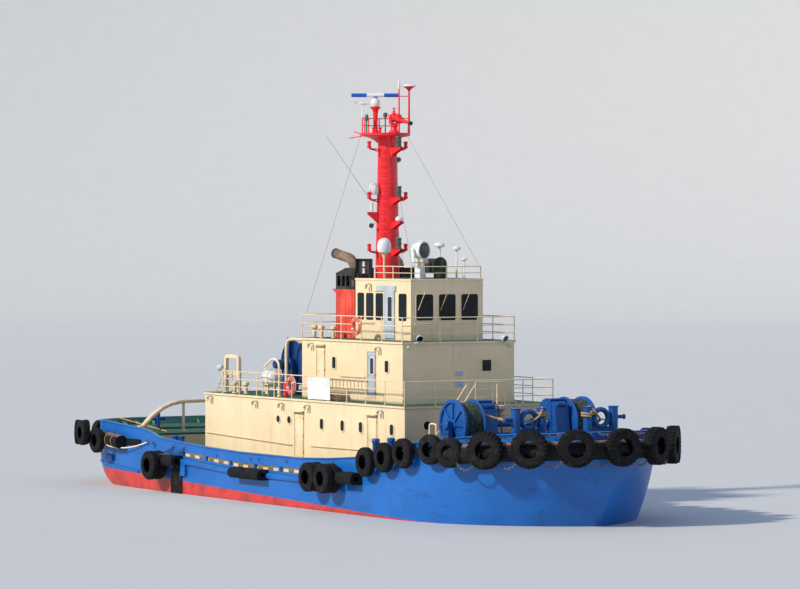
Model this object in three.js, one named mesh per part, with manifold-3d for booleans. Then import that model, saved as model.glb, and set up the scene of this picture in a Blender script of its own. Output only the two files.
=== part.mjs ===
// A harbour tugboat with two steerable thrusters under its stern, a three-tier deckhouse, twin funnels, a red signal
// mast with a fire monitor, and tyre fenders all round. Millimetres; +X to the bow, +Y to port, +Z up.
// The origin is on the centreline amidships at the waterline.
import * as THREE from "three";
import { mergeVertices } from "three/addons/utils/BufferGeometryUtils.js";
import Module from "manifold-3d";

const wasm = await Module();
wasm.setup();

// Driving dimensions of the hull.
const HALF_BEAM = 4850;
const BOW_X = 17400; // stem head at the deck
const STERN_X = -17500; // transom
const BOW_TAPER_X = 10000; // where the deck line starts to close in
const STERN_TAPER_X = -14500;
const BREAK_X = -10300; // step up to the raised after deck
const BREAK_LENGTH = 20;
const AFTER_DECK_Z = 2400;
const LOW_DECK_Z = 1280; // the main deck at its lowest, amidships
const BULWARK_THICK = 110;
const SIDE_STEP = 3; // how far the bulwark's plating stands in from the hull's side
const SEAT_GAP = 0.4; // clearance between pieces that rest on each other

// The superstructure, tier by tier.
const WALL = 90;
const PLATE = 90; // thickness of the decks over the tiers
const PLATE_LIP = 45; // how far those decks stand out over the walls
const TIER1 = { aft: -8050, fore: 8280, half: 3410, top: 4220 };
const TIER2 = { aft: -1230, fore: 6740, half: 2580, top: 6660 };
const WHEELHOUSE = { aft: 1530, fore: 5850, half: 1670, top: 9100 };

// Steerable thrusters: place of the steering axis, shaft height, nozzle and bore radius, height of the seat under the hull.
const THRUSTER = { x: -13200, y: 2150, axis: -2900, nozzle: 1150, bore: 1010, seat: -1500 };
const PROPELLER_STERN_TUBE = 170; // from the steering axis forward to where the propeller's hub meets its bearing

const paint = {
  blue: { color: 0x1e6fd0, roughness: 0.45 },
  cream: { color: 0xf5dfb4, roughness: 0.5 },
  red: { color: 0xd8241f, roughness: 0.45 },
  black: { color: 0x1b1b1d, roughness: 0.6 },
  green: { color: 0x2f6b52, roughness: 0.7 },
  rubber: { color: 0x1c1c1c, roughness: 0.9 },
  white: { color: 0xf2f2ee, roughness: 0.4 },
  glass: { color: 0x1c2a2c, roughness: 0.1 },
  grey: { color: 0xb9bfc2, roughness: 0.5 },
  bronze: { color: 0xb08d4a, roughness: 0.35, metalness: 0.9 },
};

const tug = new THREE.Group();

// Turns a closed three.js geometry, placed by a matrix, into a solid that can be cut and joined.
function solid(geometry, matrix) {
  const bare = geometry.clone();
  if (matrix) bare.applyMatrix4(matrix);
  for (const name of ["normal", "uv"]) bare.deleteAttribute(name);
  const merged = mergeVertices(bare, 0.01);
  return new wasm.Manifold(
    new wasm.Mesh({
      numProp: 3,
      vertProperties: new Float32Array(merged.attributes.position.array),
      triVerts: new Uint32Array(merged.index.array),
    }),
  );
}

const join = (solids) => solids.reduce((all, one) => all.add(one));
const moved = (x, y, z) => new THREE.Matrix4().makeTranslation(x, y, z);

// A mirror image across the centreline.
const mirrored = (shape) => shape.mirror([0, 1, 0]);
const bothSides = (shape) => shape.add(mirrored(shape));
// Its starboard half, joined to that half's mirror image, which makes it exactly symmetric.
const evened = (shape) => bothSides(shape.trimByPlane([0, -1, 0], -1));

// Adds one named mesh, made from a solid, to the tug.
function addPiece(name, shape, finish) {
  const made = shape.getMesh();
  const geometry = new THREE.BufferGeometry();
  geometry.setAttribute("position", new THREE.BufferAttribute(made.vertProperties, 3));
  geometry.setIndex(new THREE.BufferAttribute(made.triVerts, 1));
  geometry.computeVertexNormals();
  const mesh = new THREE.Mesh(geometry, new THREE.MeshStandardMaterial(finish));
  mesh.name = name;
  tug.add(mesh);
}

// A box from its low corner to its high corner.
function block([x0, y0, z0], [x1, y1, z1]) {
  const geometry = new THREE.BoxGeometry(x1 - x0, y1 - y0, z1 - z0);
  return solid(geometry, moved((x0 + x1) / 2, (y0 + y1) / 2, (z0 + z1) / 2));
}

// A round or many-sided bar from one point to another.
function bar(from, to, radius, sides = 8, endRadius = radius) {
  const a = new THREE.Vector3(...from);
  const b = new THREE.Vector3(...to);
  const along = b.clone().sub(a);
  const geometry = new THREE.CylinderGeometry(endRadius, radius, along.length(), sides);
  const turn = new THREE.Quaternion().setFromUnitVectors(
    new THREE.Vector3(0, 1, 0),
    along.normalize(),
  );
  const place = new THREE.Matrix4().compose(a.add(b).multiplyScalar(0.5), turn, new THREE.Vector3(1, 1, 1));
  return solid(geometry, place);
}

// A flat outline of [x, z] points, extruded along Y between two values.
function sidePrism(outline, y0, y1) {
  const shape = new THREE.Shape(outline.map(([x, z]) => new THREE.Vector2(x, z)));
  const geometry = new THREE.ExtrudeGeometry(shape, { depth: y1 - y0, bevelEnabled: false });
  // Extrusion runs along +Z; a quarter turn about X lays it along -Y.
  return solid(geometry, new THREE.Matrix4().makeRotationX(Math.PI / 2).setPosition(0, y1, 0));
}

// A profile of [radius, height] points turned about a vertical axis at a point.
function turned(profile, [x, y, z], segments = 16) {
  const points = profile.map(([r, h]) => new THREE.Vector2(r, h));
  const geometry = new THREE.LatheGeometry(points, segments);
  return solid(geometry, new THREE.Matrix4().makeRotationX(Math.PI / 2).setPosition(x, y, z));
}

// The same, turned about an axis that points along a level direction given as an angle from +X.
function turnedLevel(profile, [x, y, z], heading, segments = 16) {
  const points = profile.map(([r, h]) => new THREE.Vector2(r, h));
  const geometry = new THREE.LatheGeometry(points, segments);
  const place = new THREE.Matrix4()
    .makeRotationZ(heading - Math.PI / 2)
    .setPosition(x, y, z);
  return solid(geometry, place);
}

// A many-sided pipe along a smooth line through points.
function pipe(points, radius, steps, sides = 6, tension = 0.5) {
  const path = new THREE.CatmullRomCurve3(
    points.map((p) => new THREE.Vector3(...p)),
    false,
    "catmullrom",
    tension,
  );
  const section = new THREE.Shape();
  for (let i = 0; i < sides; i++) {
    const angle = (i * 2 * Math.PI) / sides;
    const [px, py] = [radius * Math.cos(angle), radius * Math.sin(angle)];
    if (i) section.lineTo(px, py);
    else section.moveTo(px, py);
  }
  return solid(new THREE.ExtrudeGeometry(section, { steps, extrudePath: path, bevelEnabled: false }));
}

// Skins a row of rings, each a list of [x, y, z] with the same number of points, and closes both ends.
function loft(rings, closed = false) {
  const count = rings[0].length;
  const position = rings.flat(2);
  const index = [];
  const last = closed ? rings.length : rings.length - 1;
  for (let i = 0; i < last; i++) {
    const next = (i + 1) % rings.length;
    for (let j = 0; j < count; j++) {
      const k = (j + 1) % count;
      const [a, b, c, d] = [i * count + j, i * count + k, next * count + k, next * count + j];
      index.push(a, b, c, a, c, d);
    }
  }
  if (!closed) {
    for (const [ring, flip] of [[0, true], [rings.length - 1, false]]) {
      const centre = position.length / 3;
      const sum = [0, 1, 2].map((k) => rings[ring].reduce((s, p) => s + p[k], 0) / count);
      position.push(...sum);
      for (let j = 0; j < count; j++) {
        const [a, b] = [ring * count + j, ring * count + ((j + 1) % count)];
        index.push(...(flip ? [centre, b, a] : [centre, a, b]));
      }
    }
  }
  const geometry = new THREE.BufferGeometry();
  geometry.setAttribute("position", new THREE.Float32BufferAttribute(position, 3));
  geometry.setIndex(index);
  const made = solid(geometry);
  if (made.volume() > 0) return made;
  geometry.setIndex(index.slice().reverse());
  return solid(geometry);
}

// Reads a value between the rows of a table of [x, value].
function between(rows, x) {
  const i = rows.findIndex((row) => row[0] >= x);
  if (i < 0) return rows[rows.length - 1][1];
  if (i === 0) return rows[0][1];
  const [[x0, v0], [x1, v1]] = [rows[i - 1], rows[i]];
  return v0 + ((v1 - v0) * (x - x0)) / (x1 - x0);
}

// Hull stations. Columns: x, height of the keel line, fullness of the section (2 is round, 6 is boxy), deck height.
const STATIONS = [
  [STERN_X, 250, 4.5, 2440],
  [-17300, 190, 4.5, 2437],
  [-16800, 40, 4.5, 2430],
  [-15800, -300, 4.5, 2415],
  [STERN_TAPER_X, -700, 4.5, AFTER_DECK_Z],
  [-12000, -1350, 4.5, AFTER_DECK_Z],
  [BREAK_X, -1850, 4.5, AFTER_DECK_Z],
  [BREAK_X + BREAK_LENGTH, -1860, 4.5, 1700],
  [-7500, -2850, 5, 1500],
  [-2500, -3000, 6, LOW_DECK_Z],
  [2500, -3000, 6, LOW_DECK_Z],
  [6900, -3000, 5, 1520],
  [8200, -3000, 4.2, 1720],
  [BOW_TAPER_X, -2990, 3.6, 2040],
  [10500, -2980, 3.4, 2130],
  [11250, -2940, 3.1, 2240],
  [12000, -2880, 2.7, 2350],
  [13500, -2550, 2.2, 2510],
  [14800, -1950, 1.8, 2630],
  [15800, -1150, 1.55, 2690],
  [16500, -300, 1.4, 2730],
  [17000, 600, 1.3, 2755],
  [17300, 1450, 1.3, 2775],
  [BOW_X, 2000, 1.3, 2780],
];
// Height of the bulwark's rail over the waterline, by x.
const RAIL_LINE = [
  [STERN_X, 2700], [STERN_TAPER_X, 2750], [-11100, 2560], [-10500, 2500], [-9400, 2240], [-6900, 2110], [-5300, 2040],
  [-2500, 1970], [2500, 1970], [4700, 2060], [6900, 2210], [10500, 2840], [12000, 3070], [14800, 3390], [BOW_X, 3530],
];
const deckHeight = (x) => between(STATIONS.map((s) => [s[0], s[3]]), x);
const railHeight = (x) => between(RAIL_LINE, x);

// Half the breadth of the deck at x: parallel amidships, with elliptic ends that stop short of a point.
function halfBreadth(x) {
  const t = Math.max((x - BOW_TAPER_X) / (BOW_X + 70 - BOW_TAPER_X), (STERN_TAPER_X - x) / (STERN_TAPER_X - STERN_X + 250), 0);
  return HALF_BEAM * Math.sqrt(1 - t * t);
}

// One station's ring: keel to deck edge on starboard, then back down on port.
const SECTION_LEVELS = [0, 0.02, 0.07, 0.16, 0.3, 0.5, 0.75, 1];
function stationRing([x, keel, fullness, deck]) {
  const side = SECTION_LEVELS.map((v) => [
    halfBreadth(x) * (1 - (1 - v) ** fullness) ** (1 / fullness),
    keel + (deck - keel) * v,
  ]);
  const starboard = side.map(([y, z]) => [x, -y, z]);
  const port = side.slice(1).reverse().map(([y, z]) => [x, y, z]);
  return [...starboard, ...port];
}

// The deck line as [x, y, outward normal angle], from the bow's centre along starboard to the stern's centre.
function deckLine(xs) {
  return xs.map((x) => {
    const step = 5;
    const [a, b] = [Math.max(x - step, STERN_X), Math.min(x + step, BOW_X)];
    const slope = (halfBreadth(b) - halfBreadth(a)) / (b - a);
    return { x, y: -halfBreadth(x), heading: Math.atan2(-1, -slope) };
  });
}

// A point at a distance outside the deck line of the starboard side, found by its length along the line from the bow.
const LINE_XS = [];
for (let i = 0; i <= 200; i++) {
  const t = i / 200;
  LINE_XS.push(BOW_X - (BOW_X - STERN_X) * (1 - Math.cos(Math.PI * t)) * 0.5);
}
const fineLine = [{ x: BOW_X + 40, y: 0, heading: 0 }, ...deckLine(LINE_XS), { x: STERN_X, y: 0, heading: -Math.PI }];
let lengthSoFar = 0;
fineLine.forEach((p, i) => {
  if (i) lengthSoFar += Math.hypot(p.x - fineLine[i - 1].x, p.y - fineLine[i - 1].y);
  p.s = lengthSoFar;
});
const LINE_LENGTH = lengthSoFar;
function alongLine(s, out) {
  const i = Math.max(1, fineLine.findIndex((p) => p.s >= s));
  const [a, b] = [fineLine[i - 1], fineLine[i]];
  const t = (s - a.s) / (b.s - a.s || 1);
  const heading = a.heading + (b.heading - a.heading) * t;
  return {
    x: a.x + (b.x - a.x) * t + out * Math.cos(heading),
    y: a.y + (b.y - a.y) * t + out * Math.sin(heading),
    heading,
    at: a.x + (b.x - a.x) * t,
  };
}

const STRAKE_RADIUS = 130;
// The hull: one decked solid with its centre skeg and its half-round rubbing strakes.
function makeHull() {
  const shell = evened(loft(STATIONS.map(stationRing)));
  const skeg = sidePrism([[-11200, -1500], [-11200, -2600], [-9500, -3350], [3000, -3350], [6000, -2950], [6000, -2500], [-6000, -2500]], -160, 160);
  const strakeRings = [-7200, -5000, -2400, 0, 2500, 4700, 6700].map((x) => {
    const centre = deckHeight(x) - STRAKE_RADIUS - 2;
    return [0, 1, 2, 3, 4, 5].map((k) => {
      const angle = -Math.PI / 2 + (k * Math.PI) / 5;
      return [x, -HALF_BEAM + 60 - 200 * Math.cos(angle), centre + STRAKE_RADIUS * Math.sin(angle)];
    });
  });
  const strake = loft(strakeRings);
  const seat = bar([THRUSTER.x, -THRUSTER.y, -500], [THRUSTER.x, -THRUSTER.y, THRUSTER.seat], 800, 20);
  return join([shell, skeg, bothSides(strake), bothSides(seat)]);
}
const hull = makeHull();
addPiece("hull", hull, paint.blue);

// The bulwark: a plate wall round the deck edge, with long freeing slots at deck level amidships.
const BULWARK_XS = [...new Set([...STATIONS, ...RAIL_LINE].map(([x]) => x))].sort((a, b) => b - a);
function makeBulwark() {
  const ring = (p) => {
    const at = (inward) => [p.x - inward * Math.cos(p.heading), p.y - inward * Math.sin(p.heading)];
    const [outer, inner] = [at(SIDE_STEP), at(SIDE_STEP + BULWARK_THICK)];
    const rail = railHeight(p.x);
    // The foot starts just below the deck, and the deck then cuts it to fit.
    return [[...outer, deckHeight(p.x) - 2], [...inner, deckHeight(inner[0]) - 20], [...inner, rail], [...outer, rail]];
  };
  const starboard = deckLine(BULWARK_XS).map((p) => ring(p));
  const mirror = starboard.slice().reverse().map((r) => r.map(([x, y, z]) => [x, -y, z]));
  const wall = evened(loft([...starboard, ...mirror], true));
  // Freeing slots, each between two of the bulwark's stays.
  const slots = [];
  for (const x of [-7400, -5300, -3200, -1100, 1000]) {
    const low = deckHeight(x + 1000) + 90;
    slots.push(block([x, -HALF_BEAM - 50, low], [x + 1950, -HALF_BEAM + BULWARK_THICK + 50, low + 190]));
  }
  return wall.subtract(bothSides(join(slots))).subtract(hull.translate([SEAT_GAP, 0, SEAT_GAP]));
}
const bulwark = makeBulwark();
addPiece("bulwark", bulwark, paint.blue);

// A place outside the deck line by its length from the stem's or the transom's middle, on starboard for a positive one.
function besideEnd(end, length, out) {
  if (length === 0) {
    const [x, heading] = end === "bow" ? [BOW_X + out, 0] : [STERN_X - out, Math.PI];
    return { x, y: 0, heading, at: end === "bow" ? BOW_X : STERN_X };
  }
  const side = Math.sign(length);
  const along = Math.abs(length);
  const p = alongLine(end === "bow" ? along : LINE_LENGTH - along, out);
  return { x: p.x, y: p.y * side, heading: p.heading * side, at: p.at };
}

// A fat rubber roll round one end of the ship, following the rail at a depth below it.
function makeRoll(end, reach, steps, radius, depth) {
  const rings = [];
  for (let i = -steps; i <= steps; i++) {
    const { x, y, heading, at } = besideEnd(end, (i * reach) / steps, radius - BITE);
    const ring = [];
    for (let k = 0; k < 8; k++) {
      const angle = (k * Math.PI) / 4 + Math.PI / 8;
      const out = Math.cos(angle) * radius;
      const z = railHeight(at) - depth + radius * Math.sin(angle);
      ring.push([x + out * Math.cos(heading), y + out * Math.sin(heading), z]);
    }
    rings.push(ring);
  }
  return loft(rings);
}

// Length along the deck line from the stem to where it has a given x.
const lengthAt = (x) => fineLine.find((p) => p.x <= x).s;

// The hull and bulwark with a hair of room round them: what stands on them or hangs against them is cut to fit.
const FOOT_BITE = 40; // how far a foot starts below the deck before it is cut to fit
const raised = (shape) => shape.translate([SEAT_GAP, 0, SEAT_GAP * 1.1]);
const widened = (shape, by) => shape.scale([1 + by / BOW_X, 1 + by / HALF_BEAM, 1]);
const shipRoom = join([
  widened(join([hull, raised(hull), hull.translate([0, 0, -SEAT_GAP]), bulwark, raised(bulwark)]), SEAT_GAP),
  widened(join([bulwark, raised(bulwark)]), -SEAT_GAP),
]);
const BITE = 15; // how far a roll is pressed on the side before it is cut to fit

// A tyre hung flat against the hull, its axle pointing away from the side.
function tyre(centre, heading, diameter, width) {
  const [outer, inner, half] = [diameter / 2, diameter * 0.24, width / 2];
  const profile = [[inner, -half], [outer * 0.88, -half], [outer, 0], [outer * 0.88, half], [inner, half], [inner, -half]];
  return turnedLevel(profile, centre, heading, 12);
}

// The bow fender: a fat rubber roll round the bow with big tyres chained over it.
function makeBowFender() {
  const tyres = [];
  // Columns: length along the deck line from the stem, diameter, width, distance of the centre outside the line.
  const table = [
    [0, 1420, 420, 790], [1490, 1420, 420, 790], [2970, 1420, 420, 790], [4510, 1420, 420, 790],
    [6070, 1150, 360, 600],
  ];
  for (const [length, diameter, width, out] of table) {
    const p = besideEnd("bow", length, out);
    tyres.push(tyre([p.x, p.y, railHeight(p.at) - 520], p.heading, diameter, width));
  }
  return makeRoll("bow", 6500, 9, 360, 620).add(bothSides(join(tyres))).subtract(shipRoom);
}
addPiece("bow_fender", makeBowFender(), paint.rubber);

// Shoulder fenders: four tyres in a row along a rubber backing strip.
function makeShoulderFender() {
  const tyres = [];
  const strip = [];
  for (const x of [8300, 9700, 11010, 12530]) {
    const p = alongLine(lengthAt(x), 330);
    tyres.push(tyre([p.x, p.y, railHeight(p.at) - 330], p.heading, 1150, 340));
  }
  for (const x of [7800, 9400, 10500, 11600, 12900]) {
    const p = alongLine(lengthAt(x), -BITE);
    const [c, w] = [Math.cos(p.heading), Math.sin(p.heading)];
    const z = railHeight(p.at) - 330;
    strip.push([
      [p.x, p.y, z - 110], [p.x, p.y, z + 110], [p.x + c * 200, p.y + w * 200, z + 110], [p.x + c * 200, p.y + w * 200, z - 110],
    ]);
  }
  return join([loft(strip), ...tyres]).subtract(shipRoom);
}
const shoulder = makeShoulderFender();
addPiece("shoulder_fender_starboard", shoulder, paint.rubber);
addPiece("shoulder_fender_port", mirrored(shoulder), paint.rubber);

// Side fenders: rubber blocks let into the rubbing strake, with stacks of two tyres beside them.
const FENDER_FACE = -HALF_BEAM - 125;
const STACK_OUT = [185, 535]; // how far the two tyres of a stack lie outside the fender's back face
// Columns: name, block's aft x, block's fore x, block's height, x of each stack, tyre's diameter, how far it hangs below the block.
const SIDE_FENDERS = [
  ["quarter_fender", -8300, -7350, 460, [-9050], 1220, 230],
  ["middle_fender", -2450, 50, 420, [], 0, 0],
  ["forward_fender", 6300, 7500, 460, [4450, 5620], 1160, 60],
];
function makeSideFender([, aft, fore, height, stacks, diameter, drop]) {
  const z = railHeight((aft + fore) / 2) - 790;
  const low = z - height / 2;
  const parts = [block([aft, FENDER_FACE - 420, low], [fore, -HALF_BEAM + BITE, low + height])];
  for (const x of stacks) {
    for (const out of STACK_OUT) parts.push(tyre([x, FENDER_FACE - out, z - drop], -Math.PI / 2, diameter, 360));
    // The hanger bar behind the stack, fixed to the side.
    parts.push(block([Math.min(x, aft) - 300, FENDER_FACE - 60, z - 60], [Math.max(x, aft) + 60, -HALF_BEAM + BITE, z + 60]));
  }
  return join(parts).subtract(shipRoom);
}
for (const row of SIDE_FENDERS) {
  const fender = makeSideFender(row);
  addPiece(row[0] + "_starboard", fender, paint.rubber);
  addPiece(row[0] + "_port", mirrored(fender), paint.rubber);
}

// The stern fender: a rubber roll round the transom and both quarters, with tyres over it.
function makeSternFender() {
  // Columns: length along the deck line from the transom's middle, diameter, height of the centre.
  // The last column: how far its centre lies outside the line.
  const table = [
    [0, 1080, 2080, 650], [1800, 1080, 2080, 650], [3500, 1080, 2120, 650], [5100, 1080, 2220, 650], [5100, 1080, 2220, 960],
    [6150, 1080, 2260, 955], [6840, 1080, 1960, 650],
  ];
  const tyres = table.map(([length, diameter, z, out]) => {
    const p = besideEnd("stern", length, out);
    return tyre([p.x, p.y, z], p.heading, diameter, 320);
  });
  return makeRoll("stern", 8450, 9, 290, 690).add(bothSides(join(tyres))).subtract(shipRoom);
}
addPiece("stern_fender", makeSternFender(), paint.rubber);

// A tier's walls: an outer block whose foot follows the deck below, hollowed out, with openings cut.
function makeWalls(tier, foot, openings, fittings = []) {
  const top = tier.top - PLATE - SEAT_GAP;
  const outline = [[tier.fore, top], [tier.aft, top], ...foot];
  const outer = sidePrism(outline, -tier.half, tier.half);
  const inner = block([tier.aft + WALL, -tier.half + WALL, 0], [tier.fore - WALL, tier.half - WALL, tier.top + 1]);
  return join([outer.subtract(join([inner, ...openings])), ...fittings]);
}

// The deck plate over a tier.
function makePlate(tier) {
  return block([tier.aft - PLATE_LIP, -tier.half - PLATE_LIP, tier.top - PLATE], [tier.fore + PLATE_LIP, tier.half + PLATE_LIP, tier.top]);
}

// Hinged doors. Columns: name, tier, fore x of the leaf (its hinge side), foot z, width, height.
const DOOR_THICK = 60;
const DOOR_GAP = 12;
const DOORS = [
  ["deckhouse_door_aft", TIER1, 330, 1900, 680, 1700],
  ["deckhouse_door_fore", TIER1, 6140, 1990, 680, 1700],
  ["casing_door", TIER2, 600, 4480, 620, 1800],
  ["cabin_door", TIER2, 4640, 4420, 600, 1780],
];
function doorOpening([, tier, fore, foot, width, height]) {
  return block([fore - width - DOOR_GAP, -tier.half - 20, foot - DOOR_GAP], [fore + DOOR_GAP, -tier.half + WALL + 20, foot + height + DOOR_GAP]);
}
// The fixed plates of a door's two hinges, beside its hinge edge.
function hingePlates([, tier, fore, foot, , height]) {
  const plate = (z) => block([fore + SEAT_GAP, -tier.half, z], [fore + DOOR_GAP + 10, -tier.half + 25, z + 120]);
  return join([plate(foot + 220), plate(foot + height - 340)]);
}
const doorsOf = (tier) => DOORS.filter((d) => d[1] === tier);
const openingsOf = (tier) => doorsOf(tier).map((d) => bothSides(doorOpening(d)));
const platesOf = (tier) => doorsOf(tier).map((d) => bothSides(hingePlates(d)));

const tier1Foot = [TIER1.aft, -7500, -2500, 2500, 6900, 8200, TIER1.fore].map((x) => [x, deckHeight(x) + SEAT_GAP]);
addPiece("deckhouse_walls", makeWalls(TIER1, tier1Foot, openingsOf(TIER1), platesOf(TIER1)), paint.cream);
addPiece("boat_deck", makePlate(TIER1), paint.green);

const flatFoot = (tier, below) => [[tier.aft, below + SEAT_GAP], [tier.fore, below + SEAT_GAP]];
addPiece("cabin_walls", makeWalls(TIER2, flatFoot(TIER2, TIER1.top), openingsOf(TIER2), platesOf(TIER2)), paint.cream);
addPiece("bridge_deck", makePlate(TIER2), paint.green);

for (const door of DOORS) {
  const [name, tier, fore, foot, width, height] = door;
  const leaf = block([fore - width, -tier.half, foot], [fore, -tier.half + DOOR_THICK, foot + height]);
  const finish = name === "cabin_door" ? paint.grey : paint.cream;
  addPiece(name + "_starboard", leaf, finish);
  addPiece(name + "_port", mirrored(leaf), finish);
}

// The wheelhouse: windows on all four sides and a sliding door each side.
const SILL = 7450;
const WINDOW_TOP = 8500;
const SLIDE_DOOR = { aft: 3890, fore: 4590, foot: 6720, top: 8560 };
// Columns: aft x and fore x of each side window.
const SIDE_WINDOWS = [[1700, 2200], [2380, 2940], [3130, 3690], [4920, 5510]];
const FRONT_WINDOWS = [[-1440, -640], [-400, 400], [640, 1440]];
function makeWheelhouse() {
  const cuts = SIDE_WINDOWS.map(([a, f]) => block([a, -WHEELHOUSE.half - 20, SILL], [f, -WHEELHOUSE.half + WALL + 20, WINDOW_TOP]));
  cuts.push(block([SLIDE_DOOR.aft, -WHEELHOUSE.half - 20, SLIDE_DOOR.foot], [SLIDE_DOOR.fore, -WHEELHOUSE.half + WALL + 20, SLIDE_DOOR.top]));
  const ends = FRONT_WINDOWS.map(([a, b]) => block([WHEELHOUSE.fore - WALL - 20, a, SILL], [WHEELHOUSE.fore + 20, b, WINDOW_TOP]));
  for (const y of [-1300, 700]) ends.push(block([WHEELHOUSE.aft - 20, y, SILL], [WHEELHOUSE.aft + WALL + 20, y + 600, WINDOW_TOP]));
  const walls = makeWalls(WHEELHOUSE, flatFoot(WHEELHOUSE, TIER2.top), [bothSides(join(cuts)), ...ends]);
  // The rail that the sliding door hangs on.
  const track = SLIDE_DOOR.top + 50 + SEAT_GAP;
  const rail = block([SLIDE_DOOR.aft - 800, -WHEELHOUSE.half - 65, track], [SLIDE_DOOR.fore + 60, -WHEELHOUSE.half + 20, track + 55]);
  return walls.add(bothSides(rail));
}
addPiece("wheelhouse_walls", makeWheelhouse(), paint.cream);

// The glazing: one band of panes behind the window openings, open where the side doors are.
function makeGlazing() {
  const gap = WALL + SEAT_GAP;
  const thick = 25;
  const [low, high] = [SILL - 60, WINDOW_TOP + 60];
  const outer = block([WHEELHOUSE.aft + gap, -WHEELHOUSE.half + gap, low], [WHEELHOUSE.fore - gap, WHEELHOUSE.half - gap, high]);
  const inner = block(
    [WHEELHOUSE.aft + gap + thick, -WHEELHOUSE.half + gap + thick, low - 1],
    [WHEELHOUSE.fore - gap - thick, WHEELHOUSE.half - gap - thick, high + 1],
  );
  const doorway = block([SLIDE_DOOR.aft - 20, -WHEELHOUSE.half, low - 1], [SLIDE_DOOR.fore + 20, -WHEELHOUSE.half + 300, high - 40]);
  return outer.subtract(inner).subtract(bothSides(doorway));
}
addPiece("wheelhouse_glazing", makeGlazing(), paint.glass);

function makeSlideDoor() {
  const face = -WHEELHOUSE.half - 10;
  return block([SLIDE_DOOR.aft - 50, face - 50, SLIDE_DOOR.foot + 10], [SLIDE_DOOR.fore + 50, face, SLIDE_DOOR.top + 50]);
}
addPiece("wheelhouse_door_starboard", makeSlideDoor(), paint.grey);
addPiece("wheelhouse_door_port", mirrored(makeSlideDoor()), paint.grey);

// A guard rail: posts standing on a deck along a line of corners, with level rails between them.
function makeRail(corners, foot, height, spacing, levels, closed) {
  const half = 22;
  const parts = [];
  const runs = corners.slice(1).map((c, i) => [corners[i], c]);
  if (closed) runs.push([corners[corners.length - 1], corners[0]]);
  for (const [[x0, y0], [x1, y1]] of runs) {
    const length = Math.hypot(x1 - x0, y1 - y0);
    const count = Math.max(1, Math.round(length / spacing));
    for (let i = 0; i <= count; i++) {
      const [x, y] = [x0 + ((x1 - x0) * i) / count, y0 + ((y1 - y0) * i) / count];
      parts.push(block([x - half, y - half, foot + SEAT_GAP], [x + half, y + half, foot + height]));
    }
    for (const level of levels) {
      const z = foot + height * level - half;
      const low = [Math.min(x0, x1) - half, Math.min(y0, y1) - half, z - half];
      const high = [Math.max(x0, x1) + half, Math.max(y0, y1) + half, z + half];
      parts.push(block(low, high));
    }
  }
  return join(parts);
}
const inset = (tier, by) => ({ aft: tier.aft + by, fore: tier.fore - by, half: tier.half - by });
const boatEdge = inset(TIER1, -10);
const boatRailCorners = [
  [-6500, 2950], [-6500, boatEdge.half], [boatEdge.fore, boatEdge.half], [boatEdge.fore, 600],
];
const boatRailHalf = makeRail(boatRailCorners, TIER1.top, 960, 1500, [1, 0.66, 0.33], false);
const boatRailBow = makeRail([[boatEdge.fore, 600], [boatEdge.fore, -600]], TIER1.top, 960, 1500, [1, 0.66, 0.33], false);
addPiece("boat_deck_rail", join([bothSides(boatRailHalf), boatRailBow]), paint.cream);

const bridgeEdge = inset(TIER2, -10);
addPiece(
  "bridge_deck_rail",
  makeRail(
    [[bridgeEdge.aft, bridgeEdge.half], [bridgeEdge.fore, bridgeEdge.half], [bridgeEdge.fore, -bridgeEdge.half], [bridgeEdge.aft, -bridgeEdge.half]],
    TIER2.top, 960, 1600, [1, 0.66, 0.33], true,
  ),
  paint.cream,
);

// The wheelhouse roof with what is fixed to it: a low rail, a dome aerial on its pillar and a covered compass.
const roofEdge = inset(WHEELHOUSE, 60);
function makeRoof() {
  const onRoof = WHEELHOUSE.top - SEAT_GAP;
  const corners = [
    [2980, roofEdge.half], [roofEdge.fore, roofEdge.half], [roofEdge.fore, -roofEdge.half], [2980, -roofEdge.half],
  ];
  const dome = [
    [0, 0], [60, 0], [45, 800], [120, 990], [270, 1050], [290, 1270], [240, 1490], [120, 1600], [0, 1630],
  ];
  const compass = [[0, 0], [270, 0], [280, 560], [230, 760], [110, 860], [0, 870]];
  return join([
    makePlate(WHEELHOUSE),
    makeRail(corners, onRoof - 5, 510, 1300, [1, 0.5], false),
    turned(dome, [3000, -1200, onRoof - 5], 14),
    turned(compass, [5150, 120, onRoof - 5], 12),
    // The screens of the side lights.
    bothSides(block([1500, -1650, 9280], [2560, -1480, 9880])),
    bothSides(block([1520, -1600, onRoof - 5], [1600, -1530, 9300])),
    bothSides(block([2440, -1600, onRoof - 5], [2520, -1530, 9300])),
    // Two mushroom aerials. Columns: x, y, height, radius.
    ...[[4700, 840, 1280, 200], [5000, 1300, 1130, 160]].map(([x, y, height, radius]) =>
      turned([[0, 0], [45, 0], [40, height - 120], [radius, height - 90], [radius * 0.95, height], [0, height + 30]], [x, y, onRoof - 5], 10)),
  ]);
}
addPiece("wheelhouse_roof", makeRoof(), paint.cream);

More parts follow.
